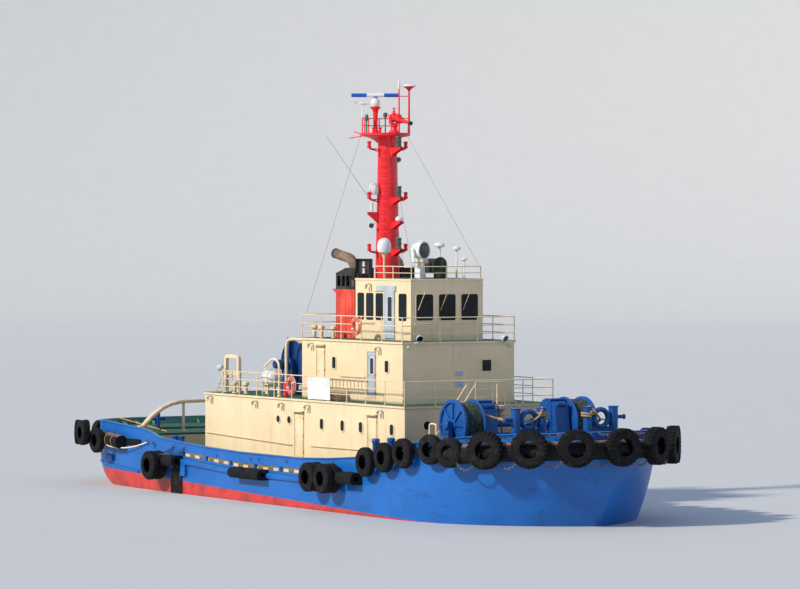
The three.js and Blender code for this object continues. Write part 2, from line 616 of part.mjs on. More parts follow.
// Funnels: a tall casing with an open louvred top and a bent exhaust pipe.
const FUNNEL = { aft: -340, fore: 1200, inner: 620, outer: 1500, peak: 9260 };
function makeFunnel() {
  const casing = sidePrism(
    [[FUNNEL.aft, TIER2.top + SEAT_GAP], [FUNNEL.fore, TIER2.top + SEAT_GAP], [FUNNEL.fore, FUNNEL.peak + 220], [450, FUNNEL.peak + 220], [FUNNEL.aft, FUNNEL.peak]],
    -FUNNEL.outer, -FUNNEL.inner,
  );
  const windows = [-230, 130, 490, 850].map((x) => block([x, -FUNNEL.outer - 50, 8760], [x + 250, -FUNNEL.inner + 50, 9180]));
  const core = block([FUNNEL.aft + 90, -FUNNEL.outer + 90, 8650], [FUNNEL.fore - 90, -FUNNEL.inner - 90, 10000]);
  const brow = sidePrism([[FUNNEL.aft - 290, 8600], [FUNNEL.aft + 10, 8460], [FUNNEL.aft + 10, 8640], [FUNNEL.aft - 290, 8640]], -FUNNEL.outer, -FUNNEL.inner);
  const centre = -(FUNNEL.outer + FUNNEL.inner) / 2;
  const exhaust = pipe([[470, centre, 8640], [470, centre, 9300], [330, centre, 9680], [-100, centre, 9910], [-1130, centre, 10080]], 205, 10, 8);
  return join([casing.subtract(join([...windows, core])), brow, exhaust]);
}
const funnel = makeFunnel();
addPiece("funnel_starboard", funnel, paint.red);
addPiece("funnel_port", mirrored(funnel), paint.red);

const MAST = { x: 1240, radius: 500, leg: { x: 1050, radius: 430 } };
const PLATFORM = { x: 1050, radius: 1020, top: 14960 };

// What turns on the mast's platform: the radar's scanner, square to the line of sight at rest, and the fire monitor.
const SCANNER = {
  x: PLATFORM.x - 450, y: -190, z: PLATFORM.top + 1450, length: 1960, heading: THREE.MathUtils.degToRad(59.5),
};
const MONITOR = { x: PLATFORM.x + 700, z: PLATFORM.top + 300 + SEAT_GAP, trunnion: 300 };

// The signal mast: a round column with a platform, lamp brackets and aerial poles.
function makeMast() {
  // Above the roof the column stands half on the wheelhouse and half on a leg behind it.
  const roof = WHEELHOUSE.top + SEAT_GAP;
  const column = turned(
    [[0, 0], [MAST.radius, 0], [385, PLATFORM.top - 500 - roof], [385, PLATFORM.top - 60 - roof], [0, PLATFORM.top - 60 - roof]],
    [MAST.x, 0, roof], 16,
  );
  const platform = turned(
    [[0, -480], [220, -480], [440, -300], [700, -180], [PLATFORM.radius, -110], [PLATFORM.radius, 0], [0, 0]],
    [PLATFORM.x, 0, PLATFORM.top], 18,
  );
  const leg = turned([[0, 0], [MAST.leg.radius, 0], [MAST.leg.radius, roof + 100 - TIER2.top], [0, roof + 100 - TIER2.top]], [MAST.leg.x, 0, TIER2.top + SEAT_GAP], 16);
  const parts = [column, platform, leg];
  // Shelf brackets on the fore side. Column: height.
  for (const z of [14360, 12350, 11370, 10260]) {
    parts.push(sidePrism([[MAST.x, z - 330], [MAST.x + 400, z - 330], [MAST.x + 1150, z - 60], [MAST.x + 1150, z], [MAST.x, z]], -140, 140));
  }
  // A shelf to starboard, tapered below.
  parts.push(loft([[0, 11200, 60], [-400, 11300, 60], [-940, 11680, 60]].map(([y, z, half]) =>
    [[MAST.x - half, y, z], [MAST.x - half, y, 11760], [MAST.x + half, y, 11760], [MAST.x + half, y, z]])));
  // Lamp arms abeam. Column: height.
  for (const z of [14300, 12250, 10150]) {
    parts.push(bar([MAST.x, -870, z], [MAST.x, 870, z], 35, 6));
    for (const side of [-1, 1]) parts.push(bar([MAST.x, side * 860, z - 40], [MAST.x, side * 860, z + 330], 90, 8));
  }
  // Platform guard rail on the after half, radar post, aerial poles.
  const top = PLATFORM.top;
  const guard = [[-0.05, -0.93], [-0.6, -0.72], [-0.9, -0.25], [-0.9, 0.25], [-0.6, 0.72]].map(([fx, fy]) => [PLATFORM.x + fx * 1000, fy * 1000]);
  guard.forEach(([x, y], i) => {
    parts.push(bar([x, y, top - 40], [x, y, top + 640], 28, 6));
    if (i) {
      const [px, py] = guard[i - 1];
      for (const z of [top + 620, top + 320]) parts.push(bar([px, py, z], [x, y, z], 24, 6));
    }
  });
  parts.push(turned([[0, -50], [150, -50], [90, 200], [120, 960], [230, 1060], [0, 1070]], [SCANNER.x, SCANNER.y, top], 12));
  parts.push(turned([[0, -20], [110, -20], [190, 120], [190, 250], [110, 380], [0, 380]], [SCANNER.x, SCANNER.y, top + 1070], 12));
  const [vane, dish] = [{ x: 1500, y: 390 }, { x: 1570, y: 820 }];
  parts.push(bar([vane.x, vane.y, top - 40], [vane.x, vane.y, top + 1900], 40, 6));
  parts.push(bar([dish.x, dish.y, top - 40], [dish.x, dish.y, top + 1850], 55, 6));
  parts.push(turned([[0, -20], [60, -20], [300, 60], [300, 100], [0, 140]], [dish.x, dish.y, top + 1850], 12));
  parts.push(turned([[0, -20], [50, 0], [60, 150], [0, 330]], [vane.x, vane.y, top + 1880], 8));
  // Pedestal of the fire monitor.
  parts.push(turned([[0, -40], [230, -40], [150, 200], [130, 300], [0, 300]], [MONITOR.x, 0, top], 12));
  return join(parts);
}
addPiece("mast", makeMast(), paint.red);

// The radar's scanner bar.
function makeScanner() {
  const { x, y, z, length, heading } = SCANNER;
  const arm = new THREE.BoxGeometry(length, 130, 150);
  const place = new THREE.Matrix4().makeRotationZ(heading).setPosition(x, y, z + 95);
  return solid(arm, place).add(bar([x, y, z + SEAT_GAP], [x, y, z + 60], 110, 12));
}
addPiece("radar_scanner", makeScanner(), paint.blue);

// The fire monitor: a swivelling body with two cheeks, and a barrel that tips between them.
function makeMonitorBody() {
  const { x, z } = MONITOR;
  const cheek = block([x - 100, -190, z + 50], [x + 100, -150, z + MONITOR.trunnion + 120]);
  return join([
    turned([[0, 0], [130, 0], [150, 40], [150, 80], [0, 80]], [x, 0, z], 12),
    bothSides(cheek),
    block([x - 100, -190, z + 40], [x + 100, 190, z + 80]),
  ]);
}
addPiece("monitor_body", makeMonitorBody(), paint.red);
function makeMonitorBarrel() {
  const { x } = MONITOR;
  const z = MONITOR.z + MONITOR.trunnion;
  const drop = 0.17; // how far the barrel falls for each unit forward
  const end = (d) => [x + d, 0, z - d * drop];
  return join([
    bar([x, -150 + SEAT_GAP, z], [x, 150 - SEAT_GAP, z], 125, 12),
    bar(end(0), end(620), 105, 10),
    bar(end(600), end(1350), 80, 10, 60),
  ]);
}
addPiece("monitor_barrel", makeMonitorBarrel(), paint.red);

// The searchlight: a yoke that swivels on the wheelhouse roof and a drum lamp that tips in it.
const SEARCHLIGHT = { x: 5000, y: -750, z: WHEELHOUSE.top, heading: THREE.MathUtils.degToRad(18) };
function makeSearchlightYoke() {
  const { x, y, z } = SEARCHLIGHT;
  const spin = new THREE.Matrix4().makeRotationZ(SEARCHLIGHT.heading).setPosition(x, y, z);
  const cheek = (side) => solid(new THREE.BoxGeometry(120, 40, 660).translate(0, side * 420, 960), spin);
  const cross = solid(new THREE.BoxGeometry(120, 880, 60).translate(0, 0, 640), spin);
  return join([bar([x, y, z + SEAT_GAP], [x, y, z + 650], 90, 10), cheek(-1), cheek(1), cross]);
}
addPiece("searchlight_yoke", makeSearchlightYoke(), paint.white);
function makeSearchlightLamp() {
  const { x, y, z, heading } = SEARCHLIGHT;
  const profile = [[0, -300], [220, -270], [330, -140], [350, 0], [350, 260], [0, 260]];
  const pin = (side) => {
    const reach = 400 - SEAT_GAP;
    return [x - side * reach * Math.sin(heading), y + side * reach * Math.cos(heading), z + 1120];
  };
  return turnedLevel(profile, [x, y, z + 1120], heading, 16).add(bar(pin(-1), pin(1), 45, 8));
}
addPiece("searchlight_lamp", makeSearchlightLamp(), paint.white);

// The bow winch: a frame with gear cases and bearings, and a rope drum at each end of its shaft.
const WINCH = { x: 11100, z: 3600, flange: 980, outer: 2950, inner: 2060 };
const winchFoot = deckHeight(WINCH.x - 1000) - FOOT_BITE;
function makeWinchFrame() {
  const { x, z } = WINCH;
  const side = [
    block([x - 1000, -3300, winchFoot], [x + 850, -3150, winchFoot + 400]),
    sidePrism([[x - 800, winchFoot], [x + 800, winchFoot], [x + 520, z + 620], [x + 150, z + 880], [x - 350, z + 880], [x - 720, z + 350]], -1950, -1330),
    block([x - 1000, -3300, winchFoot], [x - 700, 0, winchFoot + 240]),
    block([x + 550, -3300, winchFoot], [x + 850, 0, winchFoot + 430]),
    sidePrism([[x - 330, winchFoot], [x + 330, winchFoot], [x + 140, z + 170], [x - 140, z + 170]], -3300, -3080),
    bar([x, -1350, z], [x, 0, z], 120, 10),
    block([x + 250, -1340, winchFoot + 150], [x + 850, -500, z + 150]),
  ];
  return bothSides(join(side)).subtract(shipRoom);
}
addPiece("bow_winch_frame", makeWinchFrame(), paint.blue);
function makeDrum() {
  const { flange, outer, inner, x, z } = WINCH;
  const length = outer - inner;
  const [shaft, bearing] = [130, { inner: -(inner - 1950) + SEAT_GAP, outer: 3080 - inner - SEAT_GAP }];
  const profile = [
    [0, bearing.inner], [shaft, bearing.inner], [shaft, 0], [flange, 0], [flange, 70], [640, 75], [660, length - 75],
    [flange, length - 70], [flange, length], [shaft, length], [shaft, bearing.outer], [0, bearing.outer],
  ];
  return turnedLevel(profile, [x, -inner, z], -Math.PI / 2, 20);
}
addPiece("bow_drum_starboard", makeDrum(), paint.blue);
addPiece("bow_drum_port", mirrored(makeDrum()), paint.blue);

// The bow bitts: four posts in a row on a common bed, each pair with a ring fairlead between its posts.
const BITTS = { x: 14330, top: 4350, posts: [1040, 2200] };
function makeBitts() {
  const foot = deckHeight(BITTS.x - 350) - FOOT_BITE;
  const side = [];
  for (const y of BITTS.posts) {
    side.push(bar([BITTS.x, -y, foot + 10], [BITTS.x, -y, BITTS.top], 175, 12));
  }
  const middle = -(BITTS.posts[0] + BITTS.posts[1]) / 2;
  side.push(block([BITTS.x - 350, -2550, foot], [BITTS.x + 350, 0, foot + 220]));
  side.push(block([BITTS.x - 90, -BITTS.posts[1], foot + 100], [BITTS.x + 90, -BITTS.posts[0], 3560]));
  side.push(turnedLevel([[230, -90], [400, -90], [400, 90], [230, 90], [230, -90]], [BITTS.x, middle, 3900], 0, 14));
  side.push(bar([BITTS.x, -2200, 3930], [BITTS.x, -2720, 3930], 70, 8));
  return bothSides(join(side)).subtract(shipRoom);
}
addPiece("bow_bitts", makeBitts(), paint.blue);

// The after hawser reel on the boat deck: a frame and one large drum.
const REEL = { x: -4500, z: 5450, flange: 980, from: -1180, to: 1180, top: 6560 };
function makeReelFrame() {
  const { x, z } = REEL;
  const foot = TIER1.top + SEAT_GAP;
  const side = [
    sidePrism([[x - 700, foot], [x + 700, foot], [x + 220, z + 250], [x - 220, z + 250]], -1420, -1240),
    block([x - 700, -1420, foot], [x - 560, 0, foot + 120]),
    block([x + 560, -1420, foot], [x + 700, 0, foot + 120]),
    block([x - 90, -1420, z], [x + 90, -1240, REEL.top]),
    block([x - 90, -1420, REEL.top - 90], [x + 90, 0, REEL.top]),
  ];
  const motor = bar([x, -1400, z], [x, -2080, z], 230, 12, 170);
  return bothSides(join(side)).add(motor);
}
addPiece("reel_frame", makeReelFrame(), paint.blue);
function makeReelDrum() {
  const { flange, from, to, x, z } = REEL;
  const length = to - from;
  const [shaft, reach] = [110, 60 - SEAT_GAP]; // from a flange to the frame's side plate
  const profile = [
    [0, -reach], [shaft, -reach], [shaft, 0], [flange, 0], [flange, 60], [600, 65], [600, length - 65],
    [flange, length - 60], [flange, length], [shaft, length], [shaft, length + reach], [0, length + reach],
  ];
  return turnedLevel(profile, [x, from, z], Math.PI / 2, 20);
}
addPiece("reel_drum", makeReelDrum(), paint.blue);

// The hoop over the reel, and the vent arch at the after end of the boat deck.
const hoopFoot = TIER1.top + SEAT_GAP;
addPiece(
  "reel_hoop",
  pipe([[-4110, -1700, hoopFoot], [-4110, -1700, 6150], [-3980, -1700, 6440], [-3650, -1700, 6520], [-1290, -1700, 6520]], 70, 14, 6),
  paint.cream,
);
function makeVentArch() {
  const [aft, fore, y, top, radius] = [-7400, -6290, -2750, 5810, 75];
  return join([
    block([aft - radius, y - radius, TIER1.top + SEAT_GAP], [aft + radius, y + radius, top]),
    block([fore - radius, y - radius, TIER1.top + SEAT_GAP], [fore + radius, y + radius, top]),
    block([aft - radius, y - radius, top - 2 * radius], [fore + radius, y + radius, top]),
    block([aft, y - radius, 4960], [fore, y + radius, 5090]),
  ]);
}
addPiece("vent_arch", makeVentArch(), paint.cream);

// The life raft in its cradle, and the davit beside it.
function makeRaft() {
  const [x, y, z] = [-3430, -2780, 4950];
  const drum = turnedLevel([[0, -430], [180, -410], [310, -310], [355, -160], [355, 160], [310, 310], [180, 410], [0, 430]], [x, y, z], 0, 16);
  const cradle = [-220, 220].map((d) => block([x + d - 50, y - 300, TIER1.top + SEAT_GAP], [x + d + 50, y + 300, 4700]));
  return join([drum, ...cradle]);
}
addPiece("life_raft", makeRaft(), paint.white);
const DAVIT = { x: -2250, y: -3080 };
addPiece(
  "davit",
  pipe([[DAVIT.x, DAVIT.y, TIER1.top + SEAT_GAP], [DAVIT.x, DAVIT.y, 5280], [DAVIT.x - 100, DAVIT.y, 5620], [DAVIT.x - 450, DAVIT.y, 5740], [DAVIT.x - 850, DAVIT.y, 5620], [DAVIT.x - 1250, DAVIT.y, 5400]], 50, 12, 6),
  paint.cream,
);

// The towing bow: a broad beam arched over the after deck from rail to rail, on two posts, which carries the tow rope.
const TOW_BOW = { x: -11600, crown: 3670, post: 2580 };
function makeTowBow() {
  const { x, crown, post } = TOW_BOW;
  const foot = railHeight(x);
  // Columns: y, height of the beam's middle line.
  const line = [[-4790, foot - FOOT_BITE], [-4550, 2640], [-4330, 2860], [-4110, 3060], [-3830, 3260], [-3550, 3430], [-3220, 3560], [-2890, 3630], [-2550, crown], [0, crown + 20]];
  const half = line.map(([y, z], i) => {
    const [a, b] = [line[Math.max(i - 1, 0)], line[Math.min(i + 1, line.length - 1)]];
    const long = Math.hypot(b[0] - a[0], b[1] - a[1]);
    // The beam's half thickness, square to its line.
    const [ny, nz] = [(-(b[1] - a[1]) / long) * 75, ((b[0] - a[0]) / long) * 75];
    return [[x - 130, y - ny, z - nz], [x - 130, y + ny, z + nz], [x + 130, y + ny, z + nz], [x + 130, y - ny, z - nz]];
  });
  const stand = bar([x, -post, deckHeight(x) - FOOT_BITE], [x, -post, crown], 60, 6);
  return evened(join([loft(half), stand])).subtract(shipRoom);
}
addPiece("towing_bow", makeTowBow(), paint.cream);

// Quarter bitts on the raised after deck, on one cross bed.
const QUARTER_BITTS = { x: -13500, y: 2850 };
function makeAfterBitts() {
  const { x, y } = QUARTER_BITTS;
  const foot = deckHeight(x) - FOOT_BITE;
  const side = [
    bar([x, -y, foot], [x, -y, foot + 690], 115, 10),
    bar([x, -y - 330, foot + 490], [x, -y + 330, foot + 490], 70, 8),
    block([x - 200, -y - 200, foot], [x + 200, 0, foot + 110]),
  ];
  return bothSides(join(side)).subtract(shipRoom);
}
addPiece("quarter_bitts", makeAfterBitts(), paint.blue);

// Stairs: two stringers with treads, down the front of the deckhouse to each side.
function makeStair(top, bottom, across) {
  const parts = [];
  const half = 300;
  const run = new THREE.Vector3(...bottom).sub(new THREE.Vector3(...top));
  const steps = 8;
  const side = (k) => (across === "x" ? [k * half, 0, 0] : [0, k * half, 0]);
  for (const k of [-1, 1]) {
    const s = side(k);
    parts.push(bar([top[0] + s[0], top[1] + s[1], top[2]], [bottom[0] + s[0], bottom[1] + s[1], bottom[2]], 60, 4));
  }
  for (let i = 1; i < steps; i++) {
    const p = new THREE.Vector3(...top).addScaledVector(run, i / steps);
    const [dx, dy] = across === "x" ? [half, 110] : [110, half];
    parts.push(block([p.x - dx, p.y - dy, p.z - 20], [p.x + dx, p.y + dy, p.z + 20]));
  }
  return join(parts).subtract(shipRoom);
}
const stairX = TIER1.fore + 460;
const frontStair = makeStair([stairX, -700, TIER1.top - 120], [stairX, -2300, deckHeight(stairX) - FOOT_BITE], "x");
const landing = block([TIER1.fore + PLATE_LIP + 1, -800, TIER1.top - 110], [TIER1.fore + 800, 800, TIER1.top - 30]);
addPiece("front_stairs", join([bothSides(frontStair), landing]), paint.cream);
addPiece(
  "after_stair",
  makeStair([TIER1.aft - 160, 1100, TIER1.top - 100], [TIER1.aft - 1450, 1100, deckHeight(-9500) - FOOT_BITE], "y"),
  paint.cream,
);

// Thrusters: a leg under the hull with a nozzle that steers, and a propeller that spins in it.
function makeThruster() {
  const { x, y, axis, nozzle, bore, seat } = THRUSTER;
  const section = [
    [bore, -420], [nozzle - 60, -420], [nozzle, -100], [nozzle, 250], [bore + 40, 420], [bore, 300], [bore, -420],
  ];
  const top = seat - SEAT_GAP;
  return join([
    turnedLevel(section, [x, -y, axis], 0, 20),
    bar([x, -y, top], [x, -y, top - 120], 700, 16),
    bar([x + 450, -y, top - 60], [x + 450, -y, axis], 250, 12),
    bar([x + PROPELLER_STERN_TUBE, -y, axis], [x + 800, -y, axis], 250, 12, 120),
    block([x + 200, -y - 60, axis - nozzle + 20], [x + 390, -y + 60, axis]),
  ]);
}
addPiece("thruster_starboard", makeThruster(), paint.grey);
addPiece("thruster_port", mirrored(makeThruster()), paint.grey);
function makePropeller() {
  const { x, y, axis, bore } = THRUSTER;
  const parts = [turnedLevel([[0, -330], [90, -300], [190, -120], [200, PROPELLER_STERN_TUBE - SEAT_GAP], [0, PROPELLER_STERN_TUBE - SEAT_GAP]], [x, -y, axis], 0, 14)];
  for (let k = 0; k < 4; k++) {
    const blade = new THREE.BoxGeometry(50, 420, bore - 60 - 120);
    const place = new THREE.Matrix4()
      .makeTranslation(x, -y, axis)
      .multiply(new THREE.Matrix4().makeRotationX((k * Math.PI) / 2))
      .multiply(new THREE.Matrix4().makeTranslation(0, 0, 120 + (bore - 180) / 2))
      .multiply(new THREE.Matrix4().makeRotationZ(0.45));
    parts.push(solid(blade, place));
  }
  return join(parts);
}
addPiece("propeller_starboard", makePropeller(), paint.bronze);
addPiece("propeller_port", mirrored(makePropeller()), paint.bronze);

export default tug;
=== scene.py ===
import math

import bmesh
import bpy
import numpy as np
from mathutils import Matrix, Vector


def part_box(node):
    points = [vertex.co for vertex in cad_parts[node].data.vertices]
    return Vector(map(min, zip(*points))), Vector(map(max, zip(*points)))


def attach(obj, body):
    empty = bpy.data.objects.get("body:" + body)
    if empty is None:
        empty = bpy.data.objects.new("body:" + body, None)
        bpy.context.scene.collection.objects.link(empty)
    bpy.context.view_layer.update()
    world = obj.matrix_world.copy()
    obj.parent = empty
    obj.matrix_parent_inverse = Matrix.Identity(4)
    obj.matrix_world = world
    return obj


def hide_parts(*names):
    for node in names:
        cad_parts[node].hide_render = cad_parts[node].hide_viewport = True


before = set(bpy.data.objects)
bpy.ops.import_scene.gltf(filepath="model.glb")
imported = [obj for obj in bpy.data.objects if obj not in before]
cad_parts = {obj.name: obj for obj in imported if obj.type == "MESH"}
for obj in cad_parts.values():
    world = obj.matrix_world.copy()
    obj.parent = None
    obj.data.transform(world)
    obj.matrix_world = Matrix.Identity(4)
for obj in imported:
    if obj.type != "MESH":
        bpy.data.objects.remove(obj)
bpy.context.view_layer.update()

# The view: a long lens from off the starboard bow, a little above the rail, with a pale floor at the
# waterline. The floor curves up far away into a round wall, so that no edge shows from any side. One soft sun
# on the starboard side lights it, and a pale sky fills the shade.
CAMERA_AT = (138.9, -81.8, 10.95)
CAMERA_AIM = (0.58, 0.985, 8.4)
LENS_MM, SENSOR_MM, FARTHEST = 177.75, 36, 1500
camera_data = bpy.data.cameras.new("camera")
camera_data.lens = LENS_MM
camera_data.sensor_width = SENSOR_MM
camera_data.clip_end = FARTHEST
camera = bpy.data.objects.new("camera", camera_data)
sight = np.array(CAMERA_AIM) - np.array(CAMERA_AT)
pitch, heading = math.asin(sight[2] / np.linalg.norm(sight)), math.atan2(sight[1], sight[0])
camera.location = CAMERA_AT
camera.rotation_euler = (math.pi / 2 + pitch, 0, heading - math.pi / 2)
bpy.context.scene.camera = camera

SUN_FROM = (-0.03, -0.8, 0.55)
SUN_POWER, SUN_WIDTH, SUN_COLOUR = 3.25, math.radians(4), (1.0, 0.925, 0.81)
SKY_COLOUR, SKY_POWER = (0.43, 0.565, 0.91, 1), 0.68
sun_data = bpy.data.lights.new("sun", "SUN")
sun_data.energy = SUN_POWER
sun_data.angle = SUN_WIDTH
sun_data.color = SUN_COLOUR
sun = bpy.data.objects.new("sun", sun_data)
sun.rotation_euler = (math.acos(SUN_FROM[2] / np.linalg.norm(SUN_FROM)), 0, math.atan2(SUN_FROM[1],
    SUN_FROM[0]) + math.pi / 2)
for thing in (camera, sun):
    bpy.context.scene.collection.objects.link(thing)
world = bpy.data.worlds.new("sky")
world.use_nodes = True
world.node_tree.nodes["Background"].inputs["Color"].default_value = SKY_COLOUR
world.node_tree.nodes["Background"].inputs["Strength"].default_value = SKY_POWER
bpy.context.scene.world = world
bpy.context.scene.view_settings.view_transform = "Standard"


def skin(grid, close_u=False, close_v=False):
    """Quads over an (n, m, 3) grid of points, or over each of a stack of such grids.
    A closed direction joins its last row to its first."""
    n, m = grid.shape[-3:-1]
    i = np.arange(n if close_u else n - 1)[:, None]
    j = np.arange(m if close_v else m - 1)[None, :]
    a, b = i * m + j, ((i + 1) % n) * m + j
    c, d = ((i + 1) % n) * m + (j + 1) % m, i * m + (j + 1) % m
    one = np.stack(np.broadcast_arrays(a, b, c, d), axis=-1).reshape(-1, 4)
    points = grid.reshape(-1, 3).astype(float)
    starts = np.arange(0, len(points), n * m)
    return points, (one[None] + starts[:, None, None]).reshape(-1, 4)


def turns(count):
    """Evenly spaced angles of one whole turn."""
    return np.linspace(0, 2 * math.pi, count, endpoint=False)


MERGED, SLIVER, ROUNDED_OVER = 2e-4, 1e-5, math.radians(40)


def mesh_object(name, shapes, finish, bevel=0.0, sharp=38):
    """One mesh object from (points, quads) shapes: doubles merged, faces turned outwards, edges over the
    sharp angle kept crisp. A bevel in metres rounds every edge over 40 degrees."""
    starts = np.cumsum([0] + [len(points) for points, _ in shapes[:-1]])
    faces = np.concatenate([quads + start for (_, quads), start in zip(shapes, starts)])
    mesh = bpy.data.meshes.new(name)
    mesh.from_pydata(np.concatenate([points for points, _ in shapes]).tolist(), [], faces.tolist())
    built = bmesh.new()
    built.from_mesh(mesh)
    bmesh.ops.remove_doubles(built, verts=built.verts, dist=MERGED)
    bmesh.ops.dissolve_degenerate(built, edges=built.edges, dist=SLIVER)
    bmesh.ops.recalc_face_normals(built, faces=built.faces)
    built.to_mesh(mesh)
    built.free()
    mesh.shade_smooth()
    mesh.set_sharp_from_angle(angle=math.radians(sharp))
    made = bpy.data.objects.new(name, mesh)
    bpy.context.scene.collection.objects.link(made)
    mesh.materials.append(finish)
    if bevel:
        rounding = made.modifiers.new("edges", "BEVEL")
        rounding.width = bevel
        rounding.segments = 2
        rounding.limit_method = "ANGLE"
        rounding.angle_limit = ROUNDED_OVER
        rounding.harden_normals = True
    return made


class Finish:
    """A procedural material on Object coordinates, for a slot of the frame. Most calls add nodes and return
    the last one's output socket."""
    slots = {}

    def __init__(self, name, slot):
        self.material = bpy.data.materials.new(name)
        self.material.use_nodes = True
        self.tree = self.material.node_tree
        self.shader = self.tree.nodes["Principled BSDF"]
        self.place = self.add("TexCoord").outputs["Object"]
        Finish.slots[self.material.name] = slot

    def add(self, kind, inputs=(), **settings):
        made = self.tree.nodes.new("ShaderNode" + kind)
        for key, value in settings.items():
            setattr(made, key, value)
        for key, value in dict(inputs).items():
            if isinstance(value, bpy.types.NodeSocket):
                self.tree.links.new(value, made.inputs[key])
            else:
                made.inputs[key].default_value = value
        return made

    def noise(self, scale, detail=4.0, stretch=(1, 1, 1)):
        where = self.add("Mapping", {"Vector": self.place, "Scale": stretch}).outputs[0]
        return self.add("TexNoise", {"Vector": where, "Scale": scale, "Detail": detail,
            "Roughness": 0.6}).outputs[0]

    def step(self, value, low, high):
        """0 below low, 1 above high, smooth between; the other way round where low is the greater."""
        ends = {"From Min": min(low, high), "From Max": max(low, high)}
        ends.update({"To Min": float(low > high), "To Max": float(low < high)})
        return self.add("MapRange", {"Value": value, **ends}, interpolation_type="SMOOTHSTEP").outputs[0]

    def patch(self, scale, detail, low, high, stretch=(1, 1, 1)):
        """1 in the patches where a noise is over high, 0 where it is under low."""
        return self.step(self.noise(scale, detail, stretch), low, high)

    def calc(self, operation, a, b=0.0, c=0.0):
        return self.add("Math", {0: a, 1: b, 2: c}, operation=operation).outputs[0]

    def part(self, name, vector=None):
        """One of X, Y and Z of a vector, or else of the place."""
        return self.add("SeparateXYZ", {0: vector or self.place}).outputs[name]

    def normal(self):
        return self.add("NewGeometry").outputs["Normal"]

    def mix(self, factor, low, high, share=1):
        """Low where the factor is 0, and as much of high as its share where the factor is 1."""
        if share != 1:
            factor = self.calc("MULTIPLY", factor, share)
        low, high = [c if isinstance(c, bpy.types.NodeSocket) else (*c, 1) for c in (low, high)]
        return self.add("Mix", {0: factor, 6: low, 7: high}, data_type="RGBA").outputs[2]

    def bump(self, height, distance, strength=1.0, under=None):
        below = {} if under is None else {"Normal": under}
        return self.add("Bump", {"Height": height, "Distance": distance, "Strength": strength,
            **below}).outputs[0]

    def rough(self, scale, detail, distance, strength=1.0, under=None, stretch=(1, 1, 1)):
        """A bump that follows a noise."""
        return self.bump(self.noise(scale, detail, stretch), distance, strength, under)

    def done(self, colour, roughness, normal=None, **sockets):
        """Links colour, roughness and bump, and sets any other socket of the shader to a plain value."""
        for key, value in {"Base Color": colour, "Roughness": roughness, "Normal": normal, **sockets}.items():
            if isinstance(value, bpy.types.NodeSocket):
                self.tree.links.new(value, self.shader.inputs[key.replace("_", " ")])
            elif value is not None:
                self.shader.inputs[key.replace("_", " ")].default_value = value
        return self.material


FLOOR_FLAT, FLOOR_WALL = 320.0, 430.0
coat = Finish("pale_floor", None)
floor_colour = coat.mix(coat.noise(0.4), (0.6, 0.6, 0.56), (0.64, 0.64, 0.6))
floor_paint = coat.done(floor_colour, 0.85, coat.rough(3.0, 4, 0.004, 0.4))
rise = np.linspace(0, math.pi / 2, 24)[1:]
floor_out = np.concatenate([[0.0, FLOOR_FLAT], FLOOR_FLAT + (FLOOR_WALL - FLOOR_FLAT) * np.sin(rise)])
floor_up = np.concatenate([[0.0, 0.0], (FLOOR_WALL - FLOOR_FLAT) * (1 - np.cos(rise))])
around = turns(96)[:, None]
floor_grid = np.stack([floor_out * np.cos(around), floor_out * np.sin(around), floor_up + 0 * around],
    axis=-1)
floor = mesh_object("floor", [skin(floor_grid, close_u=True)], floor_paint)
floor.visible_shadow = False

# The hull: welded steel plating, blue over a red boot-top, with a green deck and a skeg under the stern.
# It follows the same stations as the CAD hull in finer steps; a half-round strake is welded along each side.
# Painted by roller: plate bands show, rust runs from the edges, the paint is scuffed where craft lie.
BOW, STERN, HALF_BEAM = 17.4, -17.5, 4.85
# Columns: x, keel height, fullness of the section, deck height.
STATIONS = np.array([[-17.5, 0.25, 4.5, 2.44], [-17.3, 0.19, 4.5, 2.437], [-16.8, 0.04, 4.5, 2.43],
    [-15.8, -0.3, 4.5, 2.415], [-14.5, -0.7, 4.5, 2.4], [-12, -1.35, 4.5, 2.4], [-10.3, -1.85, 4.5, 2.4],
    [-10.28, -1.86, 4.5, 1.7], [-7.5, -2.85, 5, 1.5], [-2.5, -3, 6, 1.28], [2.5, -3, 6, 1.28],
    [6.9, -3, 5, 1.52], [8.2, -3, 4.2, 1.72], [10, -2.99, 3.6, 2.04], [10.5, -2.98, 3.4, 2.13],
    [11.25, -2.94, 3.1, 2.24], [12, -2.88, 2.7, 2.35], [13.5, -2.55, 2.2, 2.51], [14.8, -1.95, 1.8, 2.63],
    [15.8, -1.15, 1.55, 2.69], [16.5, -0.3, 1.4, 2.73], [17, 0.6, 1.3, 2.755], [17.3, 1.45, 1.3, 2.775],
    [17.4, 2.0, 1.3, 2.78]])
BREAK_AFT, BREAK_FORE = -10.3, -10.28


def deck_height(x):
    return np.interp(x, STATIONS[:, 0], STATIONS[:, 3])


def cubic(a, b, slope_a, slope_b, t):
    """A cubic from a to b with the slopes given at its ends, t running from 0 to 1."""
    return (a * (1 + 2 * t) * (1 - t) ** 2 + slope_a * t * (1 - t) ** 2 + b * t * t * (3 - 2 * t) - slope_b
        * t * t * (1 - t))


def eased(x, column):
    """A station value at x: cubic pieces through the stations, each with its neighbours' mean slope."""
    xs, values = STATIONS[:, 0], STATIONS[:, column]
    slope = np.gradient(values, xs)
    i = np.clip(np.searchsorted(xs, x) - 1, 0, len(xs) - 2)
    width = xs[i + 1] - xs[i]
    return cubic(values[i], values[i + 1], slope[i] * width, slope[i + 1] * width, (x - xs[i]) / width)


def half_breadth(x):
    """Half the deck's breadth: the half beam times the root of 1 - t^2, where t is 0 along the parallel
    middle and runs to a little short of 1 at each end of the ship."""
    t = np.maximum(np.maximum((x - 10) / (BOW + 0.07 - 10), (-14.5 - x) / (-14.5 - STERN + 0.25)), 0)
    return HALF_BEAM * np.sqrt(1 - t * t)


